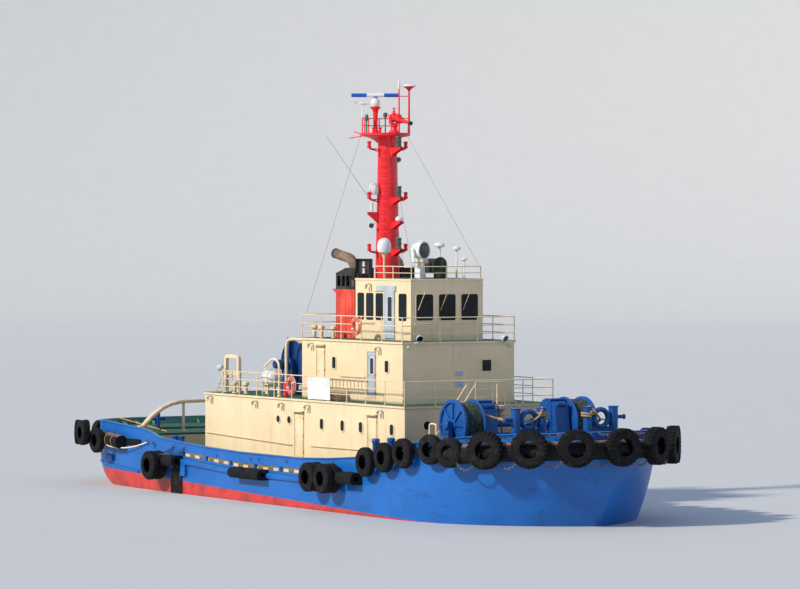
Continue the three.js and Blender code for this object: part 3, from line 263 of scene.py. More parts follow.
def fit(name, shapes, finish, replaces=(), body="ship", bevel=0.0, sharp=38, slot=None):
    """Makes a piece and fixes it to a body, in place of the plain nodes named."""
    made = mesh_object(name, shapes, finish, bevel, sharp)
    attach(made, body)
    if replaces:
        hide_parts(*([replaces] if isinstance(replaces, str) else replaces))
    return made


def mirrored(shape):
    points, faces = shape
    return points * [1, -1, 1], faces


def both(shapes):
    """Shapes of the starboard side, and their mirror images to port."""
    return list(shapes) + [mirrored(shape) for shape in shapes]


SIDES = (("_starboard", list), ("_port", lambda shapes: [mirrored(shape) for shape in shapes]))


def fit_pair(name, shapes, finish, replaces="", body="", sides=SIDES, **edges):
    """A piece to starboard and its mirror image to port, each on its side's body, in place of its node."""
    for side, turned in sides:
        fit(name + side, turned(shapes), finish, replaces and replaces + side, body + side if body
            else "ship", **edges)


def unit(vectors):
    return vectors / np.linalg.norm(vectors, axis=-1, keepdims=True)


def capped_ends(grid):
    """A grid with its first and last rows closed to their middles."""
    ends = [np.broadcast_to(grid[k].mean(axis=0), grid[:1].shape) for k in (0, -1)]
    return np.concatenate([ends[0], grid, ends[1]])


def sweep(path, section, up=(0, 0, 1), closed=False, capped=True):
    """A section of (side, up) offsets carried along a path; the side is the path's direction crossed with up.
    Where the path runs along up anywhere, y takes its place, and then x."""
    path, section = np.asarray(path, float), np.asarray(section, float)
    along = np.roll(path, -1, axis=0) - np.roll(path, 1, axis=0) if closed else np.gradient(path, axis=0)
    along = unit(along)
    for other in ((0, 1, 0), (1, 0, 0)):
        if np.linalg.norm(np.cross(along, up), axis=-1).min() < 0.05:
            up = other
    side = unit(np.cross(along, np.broadcast_to(np.asarray(up, float), along.shape)))
    over = np.cross(side, along)
    if section.ndim == 2:
        section = np.broadcast_to(section, (len(path), *section.shape))
    grid = path[:, None] + section[..., :1] * side[:, None] + section[..., 1:] * over[:, None]
    return skin(capped_ends(grid) if capped and not closed else grid, close_u=closed, close_v=True)


def disc(radius, sides, flat=1.0, start=0.0):
    """A round section, or a flattened one, for a sweep."""
    angle = start + turns(sides)
    return np.stack([radius * np.cos(angle), radius * flat * np.sin(angle)], axis=-1)


def pipe(path, radius, sides=8, **how):
    return sweep(path, disc(radius, sides), **how)


def plates(outlines, across):
    """Flat plates: each (n, 3) outline, thickened by half the vector across to both sides."""
    outlines = np.asarray(outlines, float)
    outlines = outlines[None] if outlines.ndim == 2 else outlines
    half = np.broadcast_to(np.asarray(across, float) / 2, (len(outlines), 3))[:, None]
    middle = np.broadcast_to(outlines.mean(axis=1, keepdims=True), outlines.shape)
    return skin(np.stack([middle - half, outlines - half, outlines + half, middle + half], axis=1),
        close_v=True)


def flat_plate(outline, across, x=None, y=None):
    """A plate from an outline of (y, z) pairs at one x, or of (x, z) pairs at one y."""
    return plates(np.insert(np.asarray(outline, float), *((0, x) if y is None else (1, y)), axis=1), across)


def slabs(*table):
    """Upright boxes, each from its middle and its size."""
    middle, size = [np.array([row[k] for row in table], float)[:, None] for k in (0, 1)]
    corners = np.array([(-1, -1, 0), (1, -1, 0), (1, 1, 0), (-1, 1, 0)]) / 2
    return [plates(outline, (0, 0, height)) for outline, height in zip(middle + corners * size,
        size[:, 0, 2])]


def lathe(profile, at, axis=(0, 0, 1), sides=24, closed=False, capped=True):
    """A profile of (radius, distance along the axis) turned about an axis through a point, or several points.
    Its ends are closed to the axis, unless the profile itself is closed."""
    profile, axis = np.asarray(profile, float), unit(np.asarray(axis, float))
    if capped and not closed:
        ends = [row[None] * (0, 1) if row[0] else profile[:0] for row in (profile[0], profile[-1])]
        profile = np.concatenate([ends[0], profile, ends[1]])
    first = unit(np.cross(axis, (0, 0, 1) if abs(axis[2]) < 0.9 else (1, 0, 0)))
    angle = turns(sides)
    ring = np.cos(angle)[:, None] * first + np.sin(angle)[:, None] * np.cross(axis, first)
    grid = profile[:, None, :1] * ring + profile[:, None, 1:] * axis
    return skin(grid + np.reshape(np.asarray(at, float), (-1, 1, 1, 3)), close_u=closed, close_v=True)


def rod(radius, length, at, axis=(0, 0, 1), sides=24, start=0.0):
    """A plain round bar, as a detail of a larger piece."""
    return lathe([(radius, start), (radius, start + length)], at, axis, sides)


def srgb(red, green, blue):
    """A colour as seen on a screen, 0 to 255, as linear light."""
    c = np.array([red, green, blue]) / 255
    return tuple(np.where(c <= 0.04045, c / 12.92, ((c + 0.055) / 1.055) ** 2.4))


def painted(name, slot, colour, rust=0.5, roughness=0.42, wave=0.012):
    """Paint on steel: patchy, with rust that runs down in thin streaks, over a slightly wavy plate."""
    coat = Finish(name, slot)
    dark, light = [tuple(min(1.0, c * k) for c in srgb(*colour)) for k in (0.9, 1.1)]
    base = coat.mix(coat.patch(1.1, 5, 0.35, 0.65), dark, light)
    runs, spots = coat.patch(4.0, 6, 0.63, 0.78, (1, 1, 0.12)), coat.patch(6.0, 8, 0.66, 0.76)
    base = coat.mix(coat.calc("MAXIMUM", runs, spots), base, srgb(120, 74, 46), rust)
    return coat.done(base, roughness, coat.rough(45, 3, 0.002, 0.35, coat.rough(0.9, 1, wave, 0.5)))


def mottled(name, slot, patch, low, high, roughness, grain, stretch=(1, 1, 1), **sockets):
    """A plain finish: two colours in patches and a fine bump, by the numbers of their noises."""
    coat = Finish(name, slot)
    colour = coat.mix(coat.patch(*patch), srgb(*low), srgb(*high))
    return coat.done(colour, roughness, coat.rough(*grain, stretch=stretch), **sockets)


BLUE, GREEN, CREAM = srgb(22, 109, 195), srgb(34, 92, 66), srgb(252, 228, 184)
BAND_PITCH, TRIM_SLOPE, TRIM_HEIGHT = 1.2, -0.0273, 0.335
coat = Finish("hull_paint", "hull_blue")
seen_x, seen_z, facing = coat.part("X"), coat.part("Z"), coat.normal()
over_line = coat.calc("SUBTRACT", seen_z, coat.calc("MULTIPLY_ADD", seen_x, TRIM_SLOPE, TRIM_HEIGHT))
blue = coat.mix(coat.patch(0.6, 5, 0.4, 0.62), tuple(0.86 * c for c in BLUE), BLUE)
blue = coat.mix(coat.patch(2.2, 8, 0.56, 0.7, (0.35, 1, 1.6)), blue, srgb(20, 60, 120), 0.35)
blue = coat.mix(coat.patch(3.0, 7, 0.64, 0.8, (1, 1, 0.1)), blue, srgb(96, 84, 84), 0.45)
red = coat.mix(coat.patch(1.5, 7, 0.4, 0.7), srgb(214, 62, 56), srgb(160, 56, 52))
waved = coat.calc("ADD", seen_z, coat.calc("MULTIPLY", coat.noise(1.2, 6), 0.5))
red = coat.mix(coat.step(waved, 0.42, 0.1), red, srgb(92, 62, 50), 0.55)
side_colour = coat.mix(coat.step(over_line, -0.012, 0.012), red, blue)
level = coat.step(coat.part("Z", facing), 0.8, 0.95)
deck = coat.mix(coat.patch(1.6, 8, 0.42, 0.66), GREEN, srgb(70, 88, 72))
colour = coat.mix(coat.calc("MULTIPLY", level, coat.step(seen_z, 0.9, 1.0)), side_colour, deck)
# The step between the two decks is cream, with green along its top.
near_break = coat.calc("COMPARE", seen_x, (BREAK_AFT + BREAK_FORE) / 2, 0.02)
step_face = coat.calc("MULTIPLY", near_break, coat.step(coat.part("X", facing), 0.6, 0.8))
step_face = coat.calc("MULTIPLY", step_face, coat.step(seen_z, 1.55, 1.6))
colour = coat.mix(step_face, colour, coat.mix(coat.step(seen_z, 2.3, 2.32), srgb(232, 210, 166), GREEN))
seam = coat.step(coat.calc("PINGPONG", seen_x, BAND_PITCH), 0.0, 0.02)
plating = coat.bump(seam, 0.006, 0.5, coat.rough(0.8, 2, 0.03, 0.6))
gloss = coat.calc("MULTIPLY_ADD", level, 0.42, 0.38)
hull_paint = coat.done(colour, gloss, coat.rough(40, 3, 0.002, 0.3, plating))

hull_xs = np.unique(np.concatenate([STERN + (BOW - STERN) * (1 - np.cos(np.linspace(0, math.pi, 130))) / 2,
    [BREAK_AFT, BREAK_FORE]]))
level_v = np.linspace(0, 1, 26) ** 1.5
keel, fullness, deck_z = eased(hull_xs, 1), eased(hull_xs, 2), deck_height(hull_xs)
side_y = half_breadth(hull_xs)[:, None] * (1 - (1 - level_v) ** fullness[:, None]) ** (1 / fullness[:, None])
side_z = keel[:, None] + (deck_z - keel)[:, None] * level_v
across = np.linspace(-1, 1, 15)
starboard = np.stack([np.broadcast_to(hull_xs[:, None], side_y.shape), -side_y, side_z], axis=-1)
top = np.stack(np.broadcast_arrays(hull_xs[:, None], half_breadth(hull_xs)[:, None] * across,
    deck_z[:, None]), axis=-1)
shell = [*both([skin(starboard)]), skin(top)]
for end in (0, -1):
    y = side_y[end][:, None] * across
    shell.append(skin(np.stack([hull_xs[end] + 0 * y, y, side_z[end][:, None] + 0 * across], axis=-1)))
STRAKE_RADIUS = 0.13
strake_x = np.linspace(-7.2, 6.7, 60)
strake_z = deck_height(strake_x) - STRAKE_RADIUS - 0.002
strake_path = np.stack([strake_x, -HALF_BEAM - 0.01 + 0 * strake_x, strake_z], axis=-1)
skeg = flat_plate([(-11.2, -1.5), (-11.2, -2.6), (-9.5, -3.35), (3, -3.35), (6, -2.95), (6, -2.5),
    (-6, -2.5)], (0, 0.32, 0), y=0)
seat = lathe([(0.8, -0.5), (0.8, -1.47), (0.77, -1.5)], (-13.2, -2.15, 0), sides=40)
fit("hull_shell", shell, hull_paint, "hull", sharp=50)
fit("strakes_skeg_seats", both([sweep(strake_path, disc(STRAKE_RADIUS, 14, start=0.1)), seat]) + [skeg],
    hull_paint, bevel=0.015)

# The bulwark: blue steel plate round the deck edge with a flat rail on top, green on its inner face.
# Long freeing slots stand between cream bracket plates amidships, and welded stays hold it all round.
# A line of the deck edge, by length from the stem, places all that follows the side.
# Columns: x, height of the rail.
RAIL = np.array([[-17.5, 2.7], [-14.5, 2.75], [-11.1, 2.56], [-10.5, 2.5], [-9.4, 2.24], [-6.9, 2.11],
    [-5.3, 2.04], [-2.5, 1.97], [2.5, 1.97], [4.7, 2.06], [6.9, 2.21], [10.5, 2.84], [12, 3.07], [14.8, 3.39],
    [17.4, 3.53]])
BULWARK_THICK, OUTER = 0.11, -0.003
INNER = OUTER - BULWARK_THICK


def rail_height(x):
    return np.interp(x, RAIL[:, 0], RAIL[:, 1])


edge_x = BOW - (BOW - STERN) * (1 - np.cos(np.linspace(0, math.pi, 601))) / 2
beyond, before = np.minimum(edge_x + 0.005, BOW), np.maximum(edge_x - 0.005, STERN)
edge_slope = (half_breadth(beyond) - half_breadth(before)) / (beyond - before)
edge = np.concatenate([[[BOW + 0.04, 0, 0]], np.stack([edge_x, -half_breadth(edge_x),
    np.arctan2(-1, -edge_slope)], axis=-1), [[STERN, 0, -math.pi]]])
edge_length = np.concatenate([[0], np.cumsum(np.hypot(*np.diff(edge[:, :2], axis=0).T))])


def beside(length, out, end="bow"):
    """Places outside the deck edge by their length along it from the stem, or from the transom's middle.
    A negative length is to port. Gives x, y, heading away from the side, and the x on the edge itself."""
    length = np.asarray(length, float)
    side = np.where(length < 0, -1, 1)
    s = np.abs(length) if end == "bow" else edge_length[-1] - np.abs(length)
    x, y, heading = [np.interp(s, edge_length, edge[:, k]) for k in range(3)]
    return x + out * np.cos(heading), (y + out * np.sin(heading)) * side, heading * side, np.clip(x, STERN,
        BOW)


def line_beside(length, out, height, end="bow"):
    """A line outside the deck edge; its height is a function of the x on the edge."""
    x, y, _, at = beside(length, out, end)
    return np.stack([x, y, height(at) + 0 * x], axis=-1)


def length_at(x):
    """Length along the edge from the stem to where it has a given x."""
    return np.interp(-np.asarray(x, float), -edge[:, 0], edge_length)


def wall(length, low, high):
    """A plate wall along the deck edge between two heights, each a function of x."""
    rows = [line_beside(length, out, level) for out, level in ((OUTER, low), (INNER, low), (INNER, high),
        (OUTER, high))]
    return skin(capped_ends(np.stack(rows, axis=1)), close_v=True)


def over_deck(rise):
    """The deck's height and a rise over it, as a function of x."""
    return lambda x: deck_height(x) + rise


# Columns: fore x and aft x of each stretch of plate between the freeing slots.
POSTS = [(3.2, 2.95), (1.0, 0.85), (-1.1, -1.25), (-3.2, -3.35), (-5.3, -5.45), (-7.4, -7.6)]
SLOTS_FORE, SLOTS_AFT = length_at(POSTS[0][0]), length_at(POSTS[-1][1])
coat = Finish("bulwark_paint", "hull_blue")
outwards = coat.add("VectorMath", {0: coat.place, 1: (0.25, 1, 0)}, operation="MULTIPLY").outputs[0]
inward = coat.add("VectorMath", {0: coat.normal(), 1: outwards}, operation="DOT_PRODUCT").outputs["Value"]
cloud = coat.patch(0.8, 5, 0.4, 0.6)
outer_paint = coat.mix(cloud, tuple(0.88 * c for c in BLUE), BLUE)
inner_paint = coat.mix(cloud, srgb(84, 142, 124), srgb(106, 156, 138))
both_paints = coat.mix(coat.step(inward, -0.3, -0.1), inner_paint, outer_paint)
both_paints = coat.mix(coat.patch(4.0, 6, 0.62, 0.76, (1, 1, 0.12)), both_paints, srgb(90, 80, 78), 0.4)
bulwark_paint = coat.done(both_paints, 0.4, coat.rough(0.9, 2, 0.02, 0.5))
fore_part, aft_part = np.linspace(0, SLOTS_FORE, 150), np.linspace(SLOTS_AFT, edge_length[-1], 130)
middle_part = np.linspace(SLOTS_FORE, SLOTS_AFT, 80)
walls = [wall(fore_part, over_deck(-0.01), rail_height), wall(aft_part, over_deck(-0.01), rail_height),
    wall(middle_part, over_deck(-0.01), over_deck(0.09)), wall(middle_part, over_deck(0.28), rail_height)]
posts = [wall(length_at(post), over_deck(0.08), over_deck(0.29)) for post in POSTS]
fit("slot_posts", both(posts), hull_paint)
CAP = [(-0.1, 0.0), (-0.1, 0.025), (-0.085, 0.04), (0.085, 0.04), (0.1, 0.025), (0.1, 0.0)]
cap_line = line_beside(np.linspace(0, edge_length[-1], 320), -0.045, lambda x: rail_height(x) - 0.002)
fit("bulwark_plating", both([*walls, sweep(cap_line, CAP, capped=False)]), bulwark_paint, "bulwark", sharp=40)

STAY_REACH, STAY_PITCH, BRACKET_PITCH = 0.42, 0.95, 0.84


def stays(lengths, head, reach, thick, lip=0.0):
    """Three-cornered plates on the deck against the inside of the bulwark."""
    x, y, heading, at = beside(lengths, INNER)
    inner_x, inner_y, _, _ = beside(lengths, INNER - reach)
    low, high = deck_height(at), head(at)
    outline = np.stack([np.stack(corner, axis=-1) for corner in ((x, y, low), (inner_x, inner_y, low),
        (inner_x, inner_y, low + 0.06 + lip), (x, y, high))], axis=1)
    return plates(outline, np.stack([-np.sin(heading), np.cos(heading), 0 * heading], axis=-1) * thick)


stay_s = np.concatenate([np.arange(1.0, length_at(4.2), STAY_PITCH), np.arange(length_at(-9.3),
    edge_length[-1] - 0.6, STAY_PITCH)])
bracket_s = length_at(np.arange(2.95, -7.45, -BRACKET_PITCH))
fit("bulwark_stays", both([stays(stay_s, lambda x: rail_height(x) - 0.04, STAY_REACH, 0.014)]),
    painted("stay_teal", "deck_green", (92, 146, 128)))
fit("slot_brackets", both([stays(bracket_s, over_deck(0.5), 0.26, 0.4, 0.3)]), painted("cream_steel",
    "house_cream", (238, 214, 168), rust=0.6), bevel=0.01)

# Fenders: rubber rolls round the bow and stern, rubber blocks let into the strake, old tyres hung over all.
# The rubber is grey with age and salt, worn brown where it rubs; the rolls are lengths bolted end to end.
# The big bow tyres are lugged earth-mover tyres on galvanised chains; the others are worn smooth.
coat = Finish("fender_rubber", "rubber")
dusty = coat.mix(coat.patch(5.0, 8, 0.5, 0.78), srgb(24, 24, 25), srgb(56, 54, 52))
dusty = coat.mix(coat.patch(1.7, 6, 0.58, 0.78), dusty, srgb(76, 62, 50), 0.35)
scars = coat.rough(9.0, 8, 0.02, 0.6)
rubber = coat.done(dusty, 0.82, coat.rough(60, 4, 0.004, 0.5, scars), Specular_IOR_Level=0.2)
coat = Finish("roll_rubber", "rubber")
dusty = coat.mix(coat.patch(4.0, 8, 0.45, 0.75), srgb(26, 26, 28), srgb(50, 49, 48))
rubbed = coat.calc("ADD", coat.part("Z", coat.normal()), coat.calc("MULTIPLY", coat.noise(2.5, 7), 0.9))
dusty = coat.mix(coat.step(rubbed, 1.1, 1.5), dusty, srgb(176, 132, 112), 0.75)
roll_rubber = coat.done(dusty, 0.8, coat.rough(12, 8, 0.012, 0.6), Specular_IOR_Level=0.2)
galvanised = mottled("galvanised_steel", "grey_paint", (14, 5, 0.4, 0.65), (126, 124, 120), (92, 76, 64),
    0.55, (60, 4, 0.002, 0.5), Metallic=0.6)


def roll(reach, radius, depth, end, seam=1.6):
    """A roll round one end: circles along the deck edge, drawn in a little at the seams of its lengths."""
    s = np.linspace(-reach, reach, 260)
    waist = 1 - 0.06 * np.exp(-((s / seam - np.round(s / seam)) * seam / 0.03) ** 2)
    line = line_beside(s, radius - 0.004, lambda x: rail_height(x) - depth, end)
    return sweep(line, disc(radius, 22) * waist[:, None, None])


def axes(angle, first=0, second=1):
    """A direction turned by an angle from the first axis to the second, and the one a quarter turn on."""
    made = np.zeros((2, 3))
    made[:, [first, second]] = [(math.cos(angle), math.sin(angle)), (-math.sin(angle), math.cos(angle))]
    return made


# The hollow section of a tyre. Columns: share of its radius, share of half its width.
TYRE_PROFILE = np.array([(0.48, -0.78), (0.5, -0.98), (0.62, -1.0), (0.8, -0.97), (0.91, -0.88),
    (0.985, -0.66), (1.0, -0.3), (1.0, 0.3), (0.985, 0.66), (0.91, 0.88), (0.8, 0.97), (0.62, 1.0),
    (0.5, 0.98), (0.48, 0.78), (0.6, 0.8), (0.8, 0.7), (0.9, 0.4), (0.9, -0.4), (0.8, -0.7), (0.6, -0.8)])
# A lug's four corners. Columns: turn past its start in radians, share of the radius, share of half the width.
LUG = np.array([(0, 0.86, 0.99), (0, 1.0, 0.84), (0.1, 1.0, -0.05), (0.1, 0.95, -0.05)])


def tyre(at, heading, diameter, width, lugs=0):
    """A tyre with its axle pointing at the heading: a hollow ring, with herringbone lugs where asked for."""
    radius, half = diameter / 2, width / 2
    axis = axes(heading)[0]
    shapes = [lathe(TYRE_PROFILE * [radius * (0.97 if lugs else 1), half], at, axis, 36, closed=True)]
    first = np.cross(axis, (0, 0, 1))
    second = np.cross(axis, first)
    for side in (-1, 1) if lugs else ():
        angle = ((np.arange(lugs) + 0.25 * side) * 2 * math.pi / lugs)[:, None, None]
        turned = angle + LUG[:, :1]
        ring = np.cos(turned) * first + np.sin(turned) * second
        outline = ring * (radius * LUG[:, 1:2]) + side * half * LUG[:, 2:] * axis + np.asarray(at)
        tangent = (np.cos(angle) * second - np.sin(angle) * first)[:, 0]
        shapes.append(plates(outline, tangent * radius * 0.11))
    return shapes


def path_length(path):
    return np.linalg.norm(np.diff(path, axis=0), axis=1).sum()


def along_path(path, where):
    """Points of a path at distances along it."""
    s = np.concatenate([[0], np.cumsum(np.linalg.norm(np.diff(path, axis=0), axis=1))])
    return np.stack([np.interp(where, s, path[:, k]) for k in range(3)], axis=-1)


def chain(path, wire=0.016, pitch=0.085):
    """Links along a path, each turned a quarter from the last: a long ring carried to every place on it."""
    path = np.asarray(path, float)
    count = max(2, int(round(path_length(path) / pitch)))
    where = (np.arange(count) + 0.5) / count * path_length(path)
    along = unit(along_path(path, where + 0.02) - along_path(path, where - 0.02))
    side = unit(np.cross(along, (0.31, 0.17, 0.94)))
    over = np.cross(along, side)
    odd = (np.arange(count) % 2 == 1)[:, None]
    link_axes = np.stack([along, np.where(odd, over, side), np.where(odd, -side, over)], axis=1)
    u, v = np.meshgrid(turns(10), turns(5), indexing="ij")
    link = np.stack([(pitch * 0.62 + wire * np.cos(v)) * np.cos(u), (pitch * 0.36 + wire * np.cos(v))
        * np.sin(u), wire * np.sin(v)], axis=-1)
    return skin(along_path(path, where)[:, None, None] + link @ link_axes[:, None], close_u=True,
        close_v=True)


# Columns: length along the deck edge from the stem, diameter, width, distance outside the edge, lugs.
BOW_TYRES = [(s, 1.42, 0.42, 0.79, 26) for s in (0, 1.49, 2.97, 4.51)] + [(6.07, 1.15, 0.36, 0.6, 0)]
BOW_TYRE_DROP = 0.52
bow_tyres, bow_chains = [], []
for length, diameter, width, out, lugs in BOW_TYRES:
    for side in (-1, 1) if length else (1,):
        x, y, heading, at = [float(v) for v in beside(length * side, out)]
        centre = np.array([x, y, rail_height(at) - BOW_TYRE_DROP])
        bow_tyres += tyre(centre, heading, diameter, width, lugs)
        outward, across = axes(heading)
        # Each chain runs from the rail, over the roll and down behind the tyre, close to its top.
        for shift in (-0.42, 0.42):
            head = centre + across * shift * diameter * 1.05 - outward * (out - 0.1) + (0, 0, BOW_TYRE_DROP)
            behind = centre + across * shift * diameter * 0.78 - outward * (width / 2 + 0.03)
            over_roll = head + outward * (out - 0.3) * 0.45 - (0, 0, 0.05)
            bow_chains.append(chain([head, over_roll, behind + (0, 0, 0.34 * diameter), behind
                + (0, 0, 0.18 * diameter)]))
fit("bow_tyres", bow_tyres, rubber, "bow_fender")
fit("bow_roll", [roll(6.5, 0.36, 0.62, "bow")], roll_rubber, sharp=60)
fit("bow_chains", bow_chains, galvanised)
# A second chain droops from tyre to tyre below the roll.
loops, t = [], np.linspace(0, 1, 24)
for start, end in zip(BOW_TYRES[:-1], BOW_TYRES[1:]):
    for side in (1, -1):
        line = line_beside(side * (start[0] + (end[0] - start[0]) * (0.16 + 0.68 * t)), 0.72, rail_height)
        line[:, 2] -= 0.66 + 0.55 * np.sin(math.pi * t) ** 0.8
        loops.append(chain(line))
fit("bow_chain_loops", loops, galvanised)

SHOULDER_DROP = 0.33
shoulder = []
for place in (8.3, 9.7, 11.01, 12.53):
    x, y, heading, at = [float(v) for v in beside(length_at(place), 0.33)]
    shoulder += tyre((x, y, rail_height(at) - SHOULDER_DROP), heading, 1.15, 0.34)
strip_at = np.linspace(length_at(12.9), length_at(7.8), 60)
strip = line_beside(strip_at, 0.1, lambda x: rail_height(x) - SHOULDER_DROP)
shoulder.append(sweep(strip, [(-0.1, -0.11), (0.1, -0.08), (0.1, 0.08), (-0.1, 0.11)]))
fit_pair("shoulder_tyres", shoulder, rubber, "shoulder_fender")

FENDER_FACE, FENDER_DEEP, CORNER_CUT, BORE = -HALF_BEAM - 0.125, 0.42, 0.14, 0.11
# Columns: name, the block's aft x, fore x and height, x of each stack of two tyres, their diameter, drop.
SIDE_FENDERS = [("quarter_fender", -8.3, -7.35, 0.46, [-9.05], 1.22, 0.23), ("middle_fender", -2.45, 0.05,
    0.42, [], 0, 0), ("forward_fender", 6.3, 7.5, 0.46, [4.45, 5.62], 1.16, 0.06)]
for name, aft, fore, height, stacks, diameter, drop in SIDE_FENDERS:
    z = float(rail_height((aft + fore) / 2)) - 0.79
    back, front = -HALF_BEAM - 0.002, FENDER_FACE - FENDER_DEEP
    lower = [(back, -height / 2), (front + CORNER_CUT, -height / 2), (front + CORNER_CUT / 2, CORNER_CUT / 3
        - height / 2), (front, CORNER_CUT - height / 2)]
    outline = np.array([*lower, (front, 0), *[(y, -rise) for y, rise in lower[::-1]], (back, 0)]) + (0, z)
    middle = ((back + front) / 2, z)
    angle = np.arctan2(outline[:, 1] - z, outline[:, 0] - middle[0])
    bore = middle + BORE * np.stack([np.cos(angle), np.sin(angle)], axis=-1)
    rings = [np.insert(ring, 0, x, axis=1) for x, ring in ((aft, outline), (fore, outline), (fore, bore),
        (aft, bore))]
    shapes = [skin(np.stack(rings), close_u=True, close_v=True)]
    for x in stacks:
        for out in (0.185, 0.535):
            shapes += tyre((x, FENDER_FACE - out, z - drop), -math.pi / 2, diameter, 0.36)
        hanger = [(min(x, aft) - 0.3, -HALF_BEAM - 0.09, z), (max(x, aft) + 0.06, -HALF_BEAM - 0.09, z)]
        shapes.append(sweep(hanger, [(-0.05, -0.06), (0.085, -0.06), (0.085, 0.06), (-0.05, 0.06)]))
    fit_pair(name + "_rubber", shapes, rubber, name)

# Columns: length from the transom's middle, height, distance outside the edge.
STERN_TYRES = [(0, 2.08, 0.65), (1.8, 2.08, 0.65), (3.5, 2.12, 0.65), (5.1, 2.22, 0.65), (5.1, 2.22, 0.96),
    (6.15, 2.26, 0.955), (6.84, 1.96, 0.65)]
stern_tyres = []
for length, z, out in STERN_TYRES:
    for side in (-1, 1) if length else (1,):
        x, y, heading, _ = [float(v) for v in beside(length * side, out, "stern")]
        place = (x, y, z) if length else (STERN - out, 0, z)
        stern_tyres += tyre(place, heading if length else math.pi, 1.08, 0.32)
fit("stern_tyres", stern_tyres, rubber, "stern_fender")
fit("stern_roll", [roll(8.45, 0.29, 0.69, "stern")], roll_rubber, sharp=60)

# The deckhouse, cabin and wheelhouse: welded steel boxes in cream paint, a little wavy between their
# stiffeners. Rust bleeds from the seams and runs down, with streaks of grime. The walls themselves are the
# CAD walls. The small windows and portholes are framed and proud of the plate, with dark glass.
PANEL_PITCH = 0.62
coat = Finish("house_paint", "house_cream")
cream = coat.mix(coat.patch(0.7, 6, 0.35, 0.68), tuple(0.9 * c for c in CREAM), CREAM)
cream = coat.mix(coat.patch(3.0, 7, 0.5, 0.8, (1, 1, 0.18)), cream, srgb(200, 168, 118), 0.35)
cream = coat.mix(coat.patch(5.0, 7, 0.66, 0.78, (1, 1, 0.07)), cream, srgb(158, 108, 66), 0.55)
seams = coat.calc("MULTIPLY", *[coat.step(coat.calc("PINGPONG", coat.part(name), PANEL_PITCH), 0.0, 0.014)
    for name in "XY"])
panel = coat.bump(seams, 0.004, 0.5, coat.rough(1.3, 1, 0.03, 0.7))
house_paint = coat.done(cream, 0.5, coat.rough(45, 3, 0.002, 0.35, panel))
coat = Finish("deck_paint", "deck_green")
scuffed = coat.mix(coat.patch(1.8, 9, 0.42, 0.66), GREEN, srgb(74, 96, 76))
scuffed = coat.mix(coat.patch(7, 8, 0.6, 0.75), scuffed, srgb(110, 84, 62), 0.5)
deck_paint = coat.done(scuffed, 0.75, coat.rough(70, 6, 0.004, 0.6))
door_paint = painted("door_paint", "house_cream", (250, 226, 182), rust=0.75, wave=0.02)
grey_door_paint = painted("grey_door_paint", "grey_paint", (186, 196, 204), wave=0.02)
white_paint = painted("white_paint", "white_paint", (236, 236, 230), rust=0.45)
dark_finish_and_painted_shade = painted("dark_finish_and_painted_shade", "black_paint", (58, 58, 60), rust=0.7, roughness=0.6)
teal_paint = painted("teal_paint", "deck_green", (52, 128, 110))
# The panes are opaque: their dark tint is painted shade, standing for the unlit rooms behind the glass.
coat = Finish("glass_with_painted_room_shade", "window_glass")
room_shade_tint = coat.mix(coat.patch(0.8, 2, 0.3, 0.7), srgb(8, 16, 18), srgb(22, 38, 42))
window_glass = coat.done(room_shade_tint, coat.patch(3, 4, -0.6, 2.6), IOR=1.32)
CAD_FINISHES = {house_paint: ["deckhouse_walls", "cabin_walls", "wheelhouse_walls"], deck_paint: ["boat_deck",
    "bridge_deck"], door_paint: ["deckhouse_door_aft_*", "deckhouse_door_fore_*", "casing_door_*"],
    grey_door_paint: ["cabin_door_*", "wheelhouse_door_*"]}
for finish, patterns in CAD_FINISHES.items():
    for name in {pattern.replace("*", side) for pattern in patterns for side in ("starboard", "port")}:
        for slot in bpy.data.objects[name].material_slots:
            slot.material = finish

# Half breadths of the three tiers, and heights of the decks and of the wheelhouse's roof.
TIER_1, TIER_2, TIER_3 = 3.41, 2.58, 1.67
BOAT_DECK, BRIDGE_DECK, ROOF = 4.22, 6.66, 9.1


def placed(rows, to_world, **closed):
    """A skin through (outline, depth) rows of (u, v) points, all the same number."""
    return skin(np.stack([to_world(line[:, 0], line[:, 1], 0 * line[:, 0] + depth) for line, depth in rows]),
        **closed)


def ring_plate(outline, inner, back, front, to_world):
    """A flat frame between two outlines, from one depth to another."""
    rows = [(inner, back), (outline, back), (outline, front), (inner, front)]
    return placed(rows, to_world, close_u=True, close_v=True)


def pane(outline, depth, to_world):
    """A flat pane inside an outline, 6 mm thick."""
    middle = outline * 0 + outline.mean(axis=0)
    rows = [(middle, depth - 0.006), (outline, depth - 0.006), (outline, depth), (middle, depth)]
    return placed(rows, to_world, close_v=True)


def rounded(box, margin, radius, steps=5):
    """The outline of a (u0, u1, v0, v1) box, widened by a margin all round, with rounded corners."""
    inset = radius - margin
    u0, u1, v0, v1 = np.array(box) + (inset, -inset, inset, -inset)
    angle = np.linspace(0, math.pi / 2, steps) + math.pi / 2 * np.arange(4)[:, None]
    corner = np.array([(u1, v1), (u0, v1), (u0, v0), (u1, v0)])[:, None]
    return (corner + radius * np.stack([np.cos(angle), np.sin(angle)], axis=-1)).reshape(-1, 2)


def on_side(half):
    """Maps (x, z, depth out) to the starboard side at a half breadth."""
    return lambda u, v, d: np.stack([u, -half - d, v], axis=-1)


def on_front(x):
    """Maps (y, z, depth out) to a front wall at x."""
    return lambda u, v, d: np.stack([x + d, u, v], axis=-1)


def on_back(x):
    """Maps (y, z, depth out) to an after wall at x."""
    return lambda u, v, d: np.stack([x - d, u, v], axis=-1)


